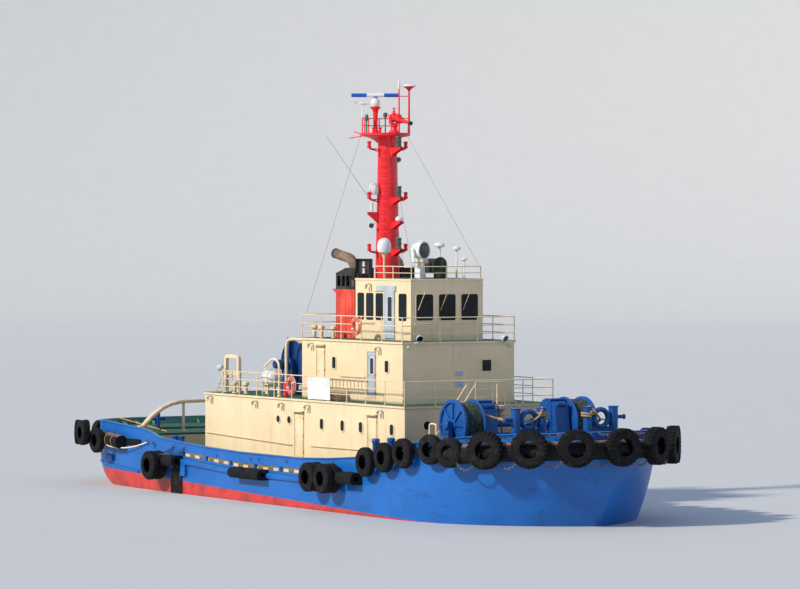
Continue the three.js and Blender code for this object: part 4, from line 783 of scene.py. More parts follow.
# Small windows, by wall. Columns: middle, height of the middle, breadth, height, corner radius.
SMALL_WINDOWS = {on_side(TIER_1): [(-1.71, 3.33, 0.3, 0.3, 0.15), (-0.81, 3.33, 0.3, 0.3, 0.15),
    *[(x, 3.27, 0.27, 0.42, 0.1) for x in (1.85, 3.5, 4.94, 7.32)]], on_side(TIER_2): [(1.4, 5.7, 0.28, 0.46,
    0.07), (5.54, 5.66, 0.28, 0.46, 0.07)], on_front(6.74): [(1.28, 5.68, 0.42, 0.44, 0.04)],
    on_back(-8.05): [(y, 3.3, 0.32, 0.32, 0.16) for y in (-1.9, -0.2)], on_back(-1.23): [(y, 5.7, 0.32, 0.32,
    0.16) for y in (-1.5, 1.5)], on_front(8.28): [(y, 3.45, 0.34, 0.34, 0.17) for y in (-2.4, 2.4)]}
frames, panes = [], []
for k, (to_world, windows) in enumerate(SMALL_WINDOWS.items()):
    every = both if k < 2 else list
    for middle, z, breadth, height, radius in windows:
        box = (middle - breadth / 2, middle + breadth / 2, z - height / 2, z + height / 2)
        inner = rounded(box, 0, radius)
        frames += every([ring_plate(rounded(box, 0.05, radius + 0.045), inner, 0.001, 0.028, to_world)])
        panes += every([pane(inner, 0.012, to_world)])
fit("small_window_frames", frames, house_paint, bevel=0.004)
fit("small_window_panes", panes, window_glass)

# Doors: coamings of plate round the CAD openings, and canopies over three of each side's four.
# Each pressed steel leaf has a raised panel, dogs and a handle, and swings with them.
# Columns: door, half breadth of the wall, fore x of the leaf, foot, width, height.
DOORS = [("deckhouse_door_aft", TIER_1, 0.33, 1.9, 0.68, 1.7), ("deckhouse_door_fore", TIER_1, 6.14, 1.99,
    0.68, 1.7), ("casing_door", TIER_2, 0.6, 4.48, 0.62, 1.8), ("cabin_door", TIER_2, 4.64, 4.42, 0.6, 1.78)]
coamings = []
for name, half, fore, foot, width, height in DOORS:
    to_world, aft, head, grip = on_side(half), fore - width, foot + height, foot + height / 2
    inner = rounded((aft, fore + 0.008, foot, head), 0.016, 0.012, 3)
    outer = rounded((aft, fore + 0.015, foot, head), 0.06, 0.05, 3)
    coamings += both([ring_plate(outer, inner, 0.001, 0.02, to_world)])
    if name != "cabin_door":
        canopy = [(x, -half - out, head + rise) for x, out, rise in ((aft - 0.1, 0.001, 0.14),
            (fore + 0.1, 0.001, 0.14), (fore + 0.1, 0.17, 0.1), (aft - 0.1, 0.17, 0.1))]
        coamings += both([plates(canopy, (0, 0, 0.014))])
    panel = (aft, fore, foot + 0.03, head - 0.03)
    handle = [(aft + 0.05, -half - 0.004, grip), (aft + 0.05, -half - 0.05, grip), (aft + 0.21, -half - 0.05,
        grip)]
    dogs = [(aft + 0.028, -half, foot + height * f) for f in (0.12, 0.35, 0.65, 0.88)]
    leaf = [ring_plate(rounded(panel, -0.07, 0.08, 4), rounded(panel, -0.1, 0.06, 4), 0.0005, 0.012,
        to_world), pipe(handle, 0.011), rod(0.022, 0.026, dogs, (0, -1, 0), 10)]
    fit_pair(name + "_fittings", leaf, grey_door_paint if name == "cabin_door" else door_paint, body=name)
fit("door_coamings", coamings, house_paint, bevel=0.004)

# Storm rails of steel bar along the sides and under the wheelhouse's front windows, on short brackets.
# They are welded to the walls and painted with them.
# Columns: half breadth of the wall, aft x, fore x, aft height, fore height.
STORM_RAILS = [(TIER_1, -7.9, -0.55, 2.54, 2.34), (TIER_1, 1.0, 5.3, 2.37, 2.4), (TIER_2, 1.9, 3.9, 5.2, 5.2),
    (TIER_3, 1.7, 3.05, 7.33, 7.33)]
side_bars = []
for half, aft, fore, low, high in STORM_RAILS:
    y, bar_y = -half - 0.002, -half - 0.08
    side_bars.append(pipe([(aft, y, low), (aft, bar_y, low), (fore, bar_y, high), (fore, y, high)], 0.017,
        10))
    for x in np.arange(aft + 1.0, fore - 0.2, 1.1):
        z = low + (high - low) * (x - aft) / (fore - aft)
        side_bars.append(pipe([(x, y, z), (x, bar_y, z)], 0.012))
x, bar_x, z = 5.852, 5.93, 7.33
front_bars = [pipe([(x, -1.5, z), (bar_x, -1.5, z), (bar_x, 1.5, z), (x, 1.5, z)], 0.017, 10)]
front_bars += [pipe([(x, y, z), (bar_x, y, z)], 0.02) for y in (-1.04, -0.5, 0.0, 0.5, 1.04)]
fit("storm_rails", both(side_bars) + front_bars, house_paint)

# The wheelhouse windows: frames of steel round the front and after ones, black rubber gaskets round the side
# ones. The front windows have wipers; boxes of plate cover the tracks of the sliding doors.
SILL, WINDOW_TOP, FRONT, BACK = 7.45, 8.5, 5.85, 1.53
SIDE_WINDOWS = [(1.7, 2.2), (2.38, 2.94), (3.13, 3.69), (4.92, 5.51)]
FRONT_WINDOWS = [(-1.44, -0.64), (-0.4, 0.4), (0.64, 1.44)]
BACK_WINDOWS = [(-1.3, -0.7), (0.7, 1.3)]
window_frames, wipers, gaskets, wheelhouse_panes = [], [], [], []
for ends in SIDE_WINDOWS:
    box = (*ends, SILL, WINDOW_TOP)
    inner = rounded(box, -0.01, 0.07)
    gaskets += both([ring_plate(rounded(box, 0.018, 0.09), inner, -0.004, 0.001, on_side(TIER_3))])
    wheelhouse_panes += both([pane(inner, -0.004, on_side(TIER_3))])
for ends in FRONT_WINDOWS:
    box = (*ends, SILL, WINDOW_TOP)
    inner, y, pivot_z = rounded(box, -0.01, 0.08), sum(ends) / 2, WINDOW_TOP + 0.075
    window_frames.append(ring_plate(rounded(box, 0.03, 0.11), inner, 0.001, 0.024, on_front(FRONT)))
    wheelhouse_panes.append(pane(inner, -0.004, on_front(FRONT)))
    wipers += [lathe([(0.045, 0), (0.04, 0.05), (0, 0.055)], (5.851, y, pivot_z), (1, 0, 0), 12),
        pipe([(5.895, y, pivot_z), (5.9, y - 0.2, SILL + 0.7)], 0.013, 6),
        sweep([(5.893, y - 0.32, SILL + 0.42), (5.893, y - 0.07, SILL + 0.98)], disc(0.014, 6, 0.6))]
for ends in BACK_WINDOWS:
    box = (*ends, SILL, WINDOW_TOP)
    inner = rounded(box, -0.02, 0.07)
    window_frames.append(ring_plate(rounded(box, 0.035, 0.11), inner, 0.001, 0.022, on_back(BACK)))
    wheelhouse_panes.append(pane(inner, -0.004, on_back(BACK)))
fit("wheelhouse_window_frames", window_frames, house_paint, bevel=0.004)
fit("side_window_gaskets", gaskets, dark_finish_and_painted_shade)
fit("front_wipers", wipers, house_paint)
fit("wheelhouse_panes", wheelhouse_panes, window_glass, "wheelhouse_glazing")
leaf_top = float(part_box("wheelhouse_door_starboard")[1][2])
track_covers = both(slabs(((3.99, -1.7055, leaf_top + 0.11), (1.5, 0.069, 0.2))))
fit("door_track_covers", track_covers, grey_door_paint, bevel=0.008)

# Guard rails: galvanised pipe posts and three level pipes, painted cream, welded at the deck's edge.
# The line and the heights are those of the CAD rails.
# Cream strips of plate close the decks' edges, as the paint of the walls runs up to the deck.
def pipe_rail(corners, foot, height=0.96, spacing=1.5, levels=(1, 0.66, 0.33), radius=0.021):
    """Posts on round feet along a line of (x, y) corners and a pipe at each level, the top one thickest."""
    shapes, post = [], [(0.045, 0), (0.045, 0.012), (radius, 0.016), (radius, height)]
    for a, b in zip(np.array(corners[:-1]), np.array(corners[1:])):
        t = np.linspace(0, 1, max(1, round(math.hypot(*(b - a)) / spacing)) + 1)[:, None]
        shapes.append(lathe(post, np.concatenate([(1 - t) * a + t * b, 0 * t + foot], axis=1), sides=10))
        for level in levels:
            z = foot + height * level - 0.022
            shapes.append(pipe([(*place, z) for place in (a, (a + b) / 2, b)], radius * (1 if level == 1
                else 0.8), 10))
    return shapes


boat_rail = both(pipe_rail([(-6.5, -2.95), (-6.5, -3.42), (8.27, -3.42), (8.27, -0.6)], BOAT_DECK + 0.0002))
boat_rail += pipe_rail([(8.27, -0.6), (8.27, 0.6)], BOAT_DECK + 0.0002)
fit("boat_deck_pipe_rail", boat_rail, house_paint, "boat_deck_rail")
bridge_corners = [(-1.22, -2.59), (6.73, -2.59), (6.73, 2.59), (-1.22, 2.59), (-1.22, -2.59)]
fit("bridge_deck_pipe_rail", pipe_rail(bridge_corners, BRIDGE_DECK + 0.0002, spacing=1.6), house_paint,
    "bridge_deck_rail")
STRIP_THICK, STRIP_HIGH = 0.008, 0.08
edge_strips = []
for aft, fore, half, top in ((-8.095, 8.325, 3.455, BOAT_DECK), (-1.275, 6.785, 2.625, BRIDGE_DECK)):
    z = top - 0.052
    edge_strips += slabs(*[((x, 0, z), (STRIP_THICK, 2 * half + 0.016, STRIP_HIGH)) for x in (aft - 0.004,
        fore + 0.004)], *[(((aft + fore) / 2, y, z), (fore - aft, STRIP_THICK, STRIP_HIGH))
        for y in (-half - 0.004, half + 0.004)])
fit("deck_edge_strips", edge_strips, house_paint)

# The wheelhouse roof: plate with rolled edge, a low pipe rail, aerials on pillars, vents and a covered
# compass. The domes are moulded white plastic and the compass has a canvas cover. The black boxes at the
# sides screen the side lights.
fit("wheelhouse_roof_plate", slabs(((3.69, 0, ROOF - 0.045), (4.36, 3.39, 0.09))), house_paint,
    "wheelhouse_roof", bevel=0.02)
fit("wheelhouse_roof_covering", slabs(((3.69, 0, ROOF + 0.002), (4.24, 3.26, 0.006))), deck_paint)
roof_corners = [(2.98, 1.61), (5.79, 1.61), (5.79, -1.61), (2.98, -1.61)]
fit("wheelhouse_roof_rail", pipe_rail(roof_corners, ROOF - 0.002, 0.51, 1.3, (1, 0.5), 0.02), house_paint)
DOME_POLE = [(0.09, 0), (0.09, 0.012), (0.045, 0.02), (0.04, 0.8), (0.11, 0.98)]
DOME = [(0, 0.975), (0.11, 0.98), (0.255, 1.05), (0.275, 1.15), (0.28, 1.27), (0.265, 1.4), (0.22, 1.51),
    (0.13, 1.59), (0, 1.625)]
fit("dome_aerial_pole", [lathe(DOME_POLE, (3.0, -1.2, ROOF), sides=20)], house_paint)
fit("dome_aerial", [lathe(DOME, (3.0, -1.2, ROOF), sides=32)], white_paint)
MUSHROOM = np.array([(0.06, 0), (0.045, 0.03), (0.04, 1.0), (0.05, 1.1), (0.17, 1.13), (0.19, 1.17),
    (0.17, 1.24), (0.09, 1.28), (0, 1.29)])
# Columns: x, y, scale across, scale upwards.
MUSHROOMS = [(4.66, 0.38, 1.18, 1.12), (4.95, 1.0, 0.9, 1.01), (5.37, 1.1, 0.7, 0.65)]
fit("mushroom_aerials", [lathe(MUSHROOM * scale, (x, y, ROOF), sides=20) for x, y, *scale in MUSHROOMS],
    white_paint)
canvas = mottled("dark_canvas", "deck_green", (3.0, 6, 0.35, 0.7), (30, 48, 36), (58, 72, 50), 0.9,
    (9, 4, 0.03, 0.8))
COVER = [(0.25, 0), (0.27, 0.05), (0.272, 0.5), (0.25, 0.66), (0.2, 0.76), (0.11, 0.84), (0, 0.865)]
fit("compass_cover", [lathe(COVER, (5.15, 0.12, ROOF), sides=28)], canvas)
LANTERN = [(0.075, 0), (0.08, 0.02), (0.062, 0.035), (0.062, 0.15), (0.08, 0.165), (0.07, 0.19), (0, 0.2)]
fit("side_lanterns", both([lathe(LANTERN, [(2.03, -1.56, 9.29), (2.03, -1.56, 9.57)], sides=16)]),
    white_paint)
VENT_HEAD = [(0.085, 0), (0.085, 0.8184), (0.12, 0.8448), (0.12, 1.0032), (0.1, 1.056), (0, 1.0692)]
fit("roof_vents", [lathe(VENT_HEAD, [(4.5, -0.3, ROOF), (4.1, -0.3, ROOF)], sides=18)], house_paint)
# Each screen is a back plate with two ends, a top and a shelf, open outwards, and blocks for two lanterns.
SCREEN = [((2.03, -1.485, 9.58), (1.06, 0.01, 0.6)), ((1.505, -1.57, 9.58), (0.01, 0.17, 0.6)),
    ((2.555, -1.57, 9.58), (0.01, 0.17, 0.6)), ((2.03, -1.57, 9.875), (1.06, 0.17, 0.01)),
    ((2.03, -1.57, 9.285), (1.06, 0.17, 0.01)), ((1.56, -1.565, 9.19), (0.06, 0.06, 0.2)),
    ((2.48, -1.565, 9.19), (0.06, 0.06, 0.2))]
fit("side_light_screens", both(slabs(*SCREEN)), dark_finish_and_painted_shade, bevel=0.004)

# Funnels: a red casing with a black top, louvred windows under the rim, a sloping brow aft and a bent
# exhaust. The casing is folded from steel plate; soot covers the pipe's mouth.
SHEET, FUNNEL_Y, FUNNEL_AFT, FUNNEL_FORE, FUNNEL_WIDE = 0.03, -1.06, -0.34, 1.2, 0.88
FUNNEL_FOOT, RIM_AFT, RIM_FORE, KNUCKLE_X = BRIDGE_DECK + 0.0004, 9.26, 9.48, 0.45
LOUVRES, LOUVRE_WIDE, LOUVRE_FOOT, LOUVRE_HEAD = (-0.23, 0.13, 0.49, 0.85), 0.25, 8.76, 9.18
coat = Finish("funnel_paint", "mast_red")
red = coat.mix(coat.patch(1.2, 6, 0.35, 0.68), srgb(214, 62, 44), srgb(246, 92, 70))
red = coat.mix(coat.patch(4, 7, 0.62, 0.76, (1, 1, 0.1)), red, srgb(120, 60, 44), 0.5)
black = coat.mix(coat.patch(3, 6, 0.4, 0.7), srgb(30, 30, 32), srgb(70, 66, 64))
funnel_colour = coat.mix(coat.step(coat.part("Z"), 8.62, 8.64), red, black)
funnel_paint = coat.done(funnel_colour, 0.5, coat.rough(1.1, 2, 0.03, 0.6))
out_y, in_y = FUNNEL_Y - FUNNEL_WIDE / 2, FUNNEL_Y + FUNNEL_WIDE / 2
edges = [FUNNEL_AFT, *[x + d for x in LOUVRES for d in (0, LOUVRE_WIDE)], FUNNEL_FORE]
strips = [(FUNNEL_AFT, FUNNEL_FORE, FUNNEL_FOOT, LOUVRE_FOOT), (FUNNEL_AFT, FUNNEL_FORE, LOUVRE_HEAD,
    RIM_AFT)]
strips += [(aft, fore, LOUVRE_FOOT, LOUVRE_HEAD) for aft, fore in zip(edges[::2], edges[1::2])]
top_edge = [(FUNNEL_AFT, 9.25), (FUNNEL_FORE, 9.25), (FUNNEL_FORE, RIM_FORE), (KNUCKLE_X, RIM_FORE)]
funnel = []
for y in (out_y + SHEET / 2, in_y - SHEET / 2):
    funnel += slabs(*[(((aft + fore) / 2, y, (low + high) / 2), (fore - aft, SHEET, high - low)) for aft,
        fore, low, high in strips])
    funnel.append(flat_plate(top_edge, (0, SHEET, 0), y=y))
for x, top in ((FUNNEL_AFT + SHEET / 2, RIM_AFT), (FUNNEL_FORE - SHEET / 2, RIM_FORE)):
    funnel += slabs(((x, FUNNEL_Y, (FUNNEL_FOOT + top) / 2), (SHEET, FUNNEL_WIDE, top - FUNNEL_FOOT)))
funnel += slabs((((FUNNEL_AFT + FUNNEL_FORE) / 2, FUNNEL_Y, 8.645), (1.48, 0.82, 0.012)))
funnel.append(flat_plate([(-0.63, 8.6), (-0.34, 8.47), (-0.34, 8.64), (-0.63, 8.64)], (0, FUNNEL_WIDE, 0),
    y=FUNNEL_Y))
# Vertical ribs stand on the casing's outer side, and a bar runs round the rim.
funnel += [pipe([(x, out_y - 0.008, 6.7), (x, out_y - 0.008, 8.55)], 0.014) for x in (-0.1, 0.43, 0.96)]
rim = [(FUNNEL_AFT, RIM_AFT), (KNUCKLE_X, RIM_FORE), (FUNNEL_FORE, RIM_FORE)]
rim = [(x, out_y, z) for x, z in rim] + [(x, in_y, z) for x, z in rim[::-1]]
funnel.append(pipe(rim, 0.022, closed=True))
fit_pair("funnel_casing", funnel, funnel_paint, "funnel")
coat = Finish("scorched_steel", "mast_red")
burnt = coat.mix(coat.patch(2.5, 6, 0.35, 0.68), srgb(150, 126, 102), srgb(112, 88, 70))
burnt = coat.mix(coat.step(coat.part("X"), -0.75, -1.1), burnt, srgb(58, 50, 48))
scorched = coat.done(burnt, 0.7, coat.rough(30, 6, 0.004, 0.5))
t = np.linspace(0, 1, 14)[:, None]
corner = (1 - t) ** 2 * (0.47, 9.15) + 2 * t * (1 - t) * (0.47, 9.83) + t ** 2 * (-0.18, 9.92)
bend = np.concatenate([[(0.47, 8.64), (0.47, 8.85), (0.47, 9.05)], corner, [(-0.45, 9.965), (-0.75, 10.01),
    (-1.13, 10.08)]])
tube = np.insert(bend, 1, FUNNEL_Y, axis=1)
mouth, out_of = tube[-1], tube[-1] - tube[-2]
exhaust = [pipe(tube, 0.203, 28, up=(0, 1, 0), capped=False), pipe(tube[::-1][:9], 0.185, 28, up=(0, 1, 0),
    capped=False), lathe([(0.185, 0), (0.185, -0.02), (0.212, -0.02), (0.212, 0.0)], mouth, out_of, 28,
    closed=True), lathe([(0, -0.5), (0.186, -0.5)], mouth, out_of, 28, capped=False)]
fit("exhaust_pipes", both(exhaust), scorched, sharp=60)

# The signal mast: a tapered red steel column on a leg behind the wheelhouse, a round platform near its top.
# It carries shelves for lanterns ahead, lamps on arms abeam, a radar, aerials and a fire monitor.
# Rungs are welded up its fore and starboard face, and weld rings show between its lengths.
mast_red = painted("mast_red", "mast_red", (250, 44, 48), rust=0.35, roughness=0.4, wave=0.006)
MAST_X, PLATFORM_Z, MAST_RADIUS, MAST_FOOT, MAST_TAPER = 1.24, 14.96, 0.5, 9.1, 0.0214


def mast_radius(z):
    return MAST_RADIUS - (z - MAST_FOOT) * MAST_TAPER


column = [(MAST_RADIUS, MAST_FOOT + 0.001)]
for z in (11.07, 12.93):
    r = mast_radius(z)
    column += [(r, z - 0.02), (r + 0.008, z - 0.012), (r + 0.008, z + 0.012), (r, z + 0.02)]
column += [(0.386, 14.46), (0.385, 14.9)]
PLATFORM = [(0.22, -0.48), (0.33, -0.39), (0.46, -0.29), (0.6, -0.215), (0.76, -0.16), (1.0, -0.12),
    (1.02, -0.105), (1.02, -0.01), (1.01, 0)]
LEG = [(0.5, 6.661), (0.5, 6.68), (0.43, 6.7), (0.43, 9.2)]
mast = [lathe(column, (MAST_X, 0, 0), sides=48), lathe(LEG, (1.05, 0, 0), sides=40),
    lathe(PLATFORM, (1.05, 0, PLATFORM_Z), sides=48)]
for z in (14.36, 12.35, 11.37, 10.26):
    mast.append(plates([(1.5, -0.14, z), (2.39, -0.1, z), (2.39, 0.1, z), (1.5, 0.14, z)], (0, 0, 0.02)))
    for y in (-0.1, 0.1):
        mast.append(plates([(1.55, y, z - 0.33), (1.64, y, z - 0.33), (2.38, y * 0.8, z - 0.06),
            (2.38, y * 0.8, z), (1.55, y, z)], (0, 0.012, 0)))
FIN = [(-0.38, 11.18), (-0.42, 11.28), (-0.92, 11.66), (-0.94, 11.76), (-0.38, 11.76)]
mast.append(flat_plate(FIN, (0.1, 0, 0), x=MAST_X))
rung_out, rung_side = axes(math.radians(-54))
for z in np.arange(9.55, 14.3, 0.305):
    face = np.array([MAST_X, 0, z]) + rung_out * (mast_radius(z) - 0.025)
    stirrup = [face + rung_side * a + rung_out * 0.05 + (0, 0, b) for a, b in ((-0.075, 0), (0.075, 0),
        (0.075, 0.15), (-0.075, 0.15))]
    mast += [pipe(stirrup, 0.011, 6, closed=True, up=rung_out), pipe([face - rung_out * 0.03 + (0, 0, 0.07),
        face + rung_out * 0.05 + (0, 0, 0.07)], 0.012, 6)]
MAST_LAMP = [(0.07, 0.04), (0.09, 0.07), (0.09, 0.1), (0.072, 0.12), (0.072, 0.24), (0.09, 0.26), (0.09, 0.3),
    (0.04, 0.33)]
lamps = []
for z in (14.3, 12.25, 10.15):
    lower_arm = [(-0.36, z - 0.1), (-0.6, z - 0.04), (-0.8, z), (-0.86, z + 0.05)]
    upper_arm = [(-0.38, z + 0.01), (-0.62, z + 0.01), (-0.86, z + 0.03)]
    mast += both([pipe([(MAST_X, *place) for place in lower_arm], 0.028),
        pipe([(MAST_X, *place) for place in upper_arm], 0.022)])
    lamps += both([lathe(MAST_LAMP, (MAST_X, -0.86, z), sides=18)])
GUARD = [(1.0, -0.93), (0.45, -0.72), (0.15, -0.25), (0.15, 0.25), (0.45, 0.72)]
mast += [pipe([(*a, z), (*b, z)], 0.02) for a, b in zip(GUARD[:-1], GUARD[1:]) for z in (15.57, 15.28)]
mast.append(rod(0.026, 0.62, [(x, y, PLATFORM_Z) for x, y in GUARD], sides=8))
RADAR_POST = [(0.17, -0.02), (0.17, 0.01), (0.1, 0.14), (0.085, 0.3), (0.1, 0.8), (0.13, 0.95), (0.225, 1.04),
    (0.235, 1.07)]
PEDESTAL = [(0.23, 0), (0.23, 0.02), (0.15, 0.1), (0.13, 0.24), (0.17, 0.26), (0.17, 0.3)]
STUD = [(0.06, 0), (0.055, 0.16), (0.09, 0.18), (0.09, 0.22), (0, 0.23)]
mast += [lathe(RADAR_POST, (0.6, -0.19, PLATFORM_Z)), lathe(PEDESTAL, (1.75, 0, PLATFORM_Z - 0.001),
    sides=28), lathe(STUD, [(1.15, -0.6, PLATFORM_Z), (1.4, -0.45, PLATFORM_Z)], sides=14)]
# Two aerial poles stand braced together at the platform's port side; the higher one bears a dish.
THIN_POLE, DISH_POLE = (1.5, 0.39), (1.57, 0.82)
for place, height, radius in ((THIN_POLE, 1.78, 0.034), (DISH_POLE, 1.8, 0.045)):
    pole = [(0.07, 0), (0.07, 0.02), (radius, 0.03), (radius * 0.8, height)]
    mast.append(lathe(pole, (*place, PLATFORM_Z), sides=12))
mast += [pipe([(x, y - 0.02, PLATFORM_Z), (*DISH_POLE, PLATFORM_Z + 1.55)], 0.018) for x, y in ((1.4, 0.93),
    (1.72, 0.7))]
mast += [pipe([(*THIN_POLE, z), (*DISH_POLE, z)], 0.016) for z in (15.55, 16.45)]
mast.append(lathe([(0, 1.7), (0.05, 1.72), (0.09, 1.78), (0.26, 1.89), (0, 1.895)], (*DISH_POLE, PLATFORM_Z),
    sides=20))
# Two arms reach aft from the platform, and a cable runs up the port face.
mast += [pipe([(0.62, -0.85, 14.92), (0.45, -0.95, 14.98), (0.3, -1.02, 15.02)], 0.028),
    pipe([(0.62, -0.85, 14.84), (0.36, -1.02, 14.8), (0.12, -1.16, 14.76)], 0.024),
    pipe([(MAST_X, y, z) for y, z in ((0.42, 9.12), (0.435, 9.6), (0.385, 13.5), (0.37, 14.4))], 0.025)]
fit("mast_column", mast, mast_red, "mast", sharp=42)
fit("mast_lamps", lamps, mast_red)
# White gear on the mast: the radar's turning unit, the dish, a lantern, a dome on the fin and a whip aerial.
BALL = [(0.13, 0), (0.17, 0.05), (0.188, 0.14), (0.18, 0.24), (0.13, 0.32), (0.07, 0.34), (0.07, 0.38)]
white_gear = [lathe(BALL, (0.6, -0.19, PLATFORM_Z + 1.07)), lathe([(0.3, 0.0), (0.305, 0.02), (0.28, 0.05),
    (0.12, 0.09), (0, 0.1)], (*DISH_POLE, PLATFORM_Z + 1.89), sides=28),
    lathe([(0.045, 0), (0.055, 0.05), (0.05, 0.28), (0.02, 0.34), (0, 0.345)],
    (*THIN_POLE, PLATFORM_Z + 1.78), sides=14), lathe([(0.16, 0.0), (0.2, 0.08), (0.205, 0.26), (0.16, 0.4),
    (0.08, 0.47), (0, 0.49)], (1.2, -0.62, 12.46)), rod(0.06, 0.36, (MAST_X, -0.74, 11.78), sides=14),
    lathe([(0.12, 0.0), (0.16, 0.05), (0.15, 0.15), (0.06, 0.21), (0, 0.215)], (2.17, 0, 11.38), sides=20),
    pipe([(MAST_X, -0.87, 12.3), (MAST_X, -1.9, 13.6), (MAST_X, -2.92, 14.86)], 0.02)]
# The wind vane on its pole at the platform's after rail, and a thin pole on an arm behind it.
white_gear += [lathe([(0.03, 0), (0.03, 0.28), (0.016, 0.3), (0.014, 0.55)], (0.45, -0.72, 15.6), sides=10),
    lathe([(0, -0.2), (0.05, -0.12), (0.055, 0.06), (0.02, 0.2), (0, 0.21)], (0.47, -0.68, 16.17),
    (0.5, 0.86, -0.1), 14), plates([(0.4, -0.8, 16.13), (0.3, -0.98, 16.17), (0.28, -1.0, 16.42),
    (0.36, -0.9, 16.3)], (0.012, -0.006, 0)), pipe([(0.3, -1.02, 14.95), (0.3, -1.02, 15.6),
    (0.3, -1.02, 16.28)], 0.013)]
fit("mast_white_gear", white_gear, white_paint)
TEAL_LAMP = [(0.03, 0), (0.03, 0.5), (0.07, 0.52), (0.08, 0.56), (0.08, 0.7), (0.05, 0.76), (0, 0.77)]
fit("platform_lamp", [lathe(TEAL_LAMP, (0.62, -0.62, PLATFORM_Z), sides=16)], teal_paint)
GREY_LANTERN = [(0.13, 0), (0.135, 0.03), (0.11, 0.05), (0.11, 0.18), (0.135, 0.2), (0.135, 0.23),
    (0.11, 0.25), (0.11, 0.38), (0.135, 0.4), (0.12, 0.44), (0, 0.45)]
SPOT_LAMP = [(0, -0.12), (0.05, -0.11), (0.09, -0.03), (0.1, 0.05), (0.085, 0.05), (0, 0.035)]
grey_gear = [lathe(GREY_LANTERN, (2.12, 0, z), sides=18) for z in (14.371, 12.361, 10.271)]
for x, y, z in ((2.12, 0.0, 13.8), (MAST_X, -0.76, 11.14)):
    grey_gear += [lathe(SPOT_LAMP, (x, y, z + 0.08), (1, -0.5, -0.5), 16),
        pipe([(x - 0.02, y, z - 0.04), (x - 0.02, y, z + 0.06)], 0.018)]
grey_gear += [pipe([(1.62, 0, 13.7), (1.9, 0, 13.72), (2.12, 0, 13.78)], 0.02),
    pipe([(MAST_X, -0.6, 11.3), (MAST_X, -0.74, 11.2), (MAST_X, -0.76, 11.12)], 0.018),
    lathe([(0.025, 0), (0.025, 0.62), (0.08, 0.64), (0.09, 0.72), (0.07, 0.82), (0, 0.84)],
    (1.15, -0.05, PLATFORM_Z), sides=14)]
fit("mast_grey_gear", grey_gear, painted("lamp_grey", "grey_paint", (84, 92, 88), rust=0.4))
# Taut wires from the platform down to the bridge deck and the roof. Columns: the two ends of each.
WIRES = [((0.12, -0.6, 14.87), (-1.1, -2.45, 7.62)), ((0.12, 0.6, 14.87), (-1.1, 2.45, 7.62)),
    ((2.02, 0.45, 14.87), (5.75, 1.55, 9.61)), ((2.02, -0.45, 14.87), (5.75, -1.55, 9.61))]
fit("mast_wires", [pipe([a, np.add(a, b) / 2, b], 0.006, 5) for a, b in WIRES], galvanised)

# The radar's scanner: a slim blue box beam with a blank white band, on its turning boss.
# Its beam is square to the line of sight at rest.
RADAR = np.array([0.6, -0.19, 16.505])
scanner_blue = painted("scanner_blue", "hull_blue", (20, 96, 196), rust=0.1, roughness=0.35, wave=0.0)
beam_along = axes(math.radians(59.5))[0]
BEAM = np.array([(-0.06, -0.075), (0.03, -0.075), (0.065, -0.03), (0.065, 0.03), (0.03, 0.075),
    (-0.06, 0.075)])
half = np.array([-0.98, -0.97, 0.97, 0.98])[:, None]
swell = np.array([0.85, 1, 1, 0.85])[:, None, None]
scanner = [sweep(RADAR + beam_along * half, BEAM * swell), lathe([(0.11, 0.0005), (0.11, 0.03), (0.07, 0.05)],
    RADAR - (0, 0, 0.095), sides=20)]
fit("scanner_beam", scanner, scanner_blue, "radar_scanner", body="radar_scanner")
fit("scanner_band", [sweep(RADAR + beam_along * half * 0.36, BEAM * 1.03)], white_paint, body="radar_scanner")

# The fire monitor: a red cast elbow that swivels on its pedestal, with a handwheel, and a long tapering
# barrel. The barrel tips between the body's cheeks; its mouth is a black tip, closed by a cone of painted
# shade.
TRUNNION = np.array([1.75, 0, 15.5604])
CHEEK = [(1.66, 15.31), (1.84, 15.31), (1.85, 15.5), (1.84, 15.62), (1.8, 15.68), (1.7, 15.68), (1.66, 15.62),
    (1.65, 15.5)]
elbow = [lathe([(0.16, 0.0005), (0.16, 0.03), (0.12, 0.05), (0.11, 0.08)], (1.75, 0, 15.26)),
    *both([flat_plate(CHEEK, (0, 0.035, 0), y=-0.17), lathe([(0.055, 0), (0.05, 0.03), (0, 0.032)], TRUNNION
    - (0, 0.187, 0), (0, -1, 0), 16)]), *slabs(((1.75, 0, 15.335), (0.18, 0.37, 0.04))),
    pipe([(1.655, -0.17, 15.6), (1.6, -0.17, 15.66), (1.58, -0.17, 15.74)], 0.016)]
fit("monitor_elbow", elbow, mast_red, "monitor_body", body="monitor_body")
aim = (1, 0, -0.19)
BARREL = [(0, -0.12), (0.09, -0.11), (0.115, -0.04), (0.118, 0.1), (0.105, 0.2), (0.1, 0.52), (0.135, 0.54),
    (0.135, 0.6), (0.09, 0.63), (0.082, 0.7), (0.062, 1.22), (0.078, 1.24), (0.08, 1.355), (0.062, 1.36),
    (0.055, 1.1), (0, 1.08)]
TRUNNION_DRUM = [(0.12, -0.1475), (0.165, -0.11), (0.18, -0.04), (0.18, 0.04), (0.165, 0.11), (0.12, 0.1475)]
wheel = TRUNNION + (0, 0, 0.39)
wheel_line = wheel + 0.1 * np.stack([np.cos(turns(24)), np.sin(turns(24)), 0 * turns(24)], axis=-1)
barrel = [lathe(BARREL, TRUNNION, aim, 28), lathe(TRUNNION_DRUM, TRUNNION, (0, 1, 0), 28),
    pipe([TRUNNION + (-0.05, -0.06, 0.15), TRUNNION + (0.12, -0.06, 0.21), TRUNNION + (0.42, -0.06, 0.1)],
    0.035, 10), *slabs(((2.1, 0, 15.6), (0.24, 0.16, 0.16))), lathe([(0.06, 0), (0.05, 0.16), (0.03, 0.18),
    (0.02, 0.3)], TRUNNION + (0, 0, 0.12), sides=16), pipe(wheel_line, 0.012, 6, closed=True)]
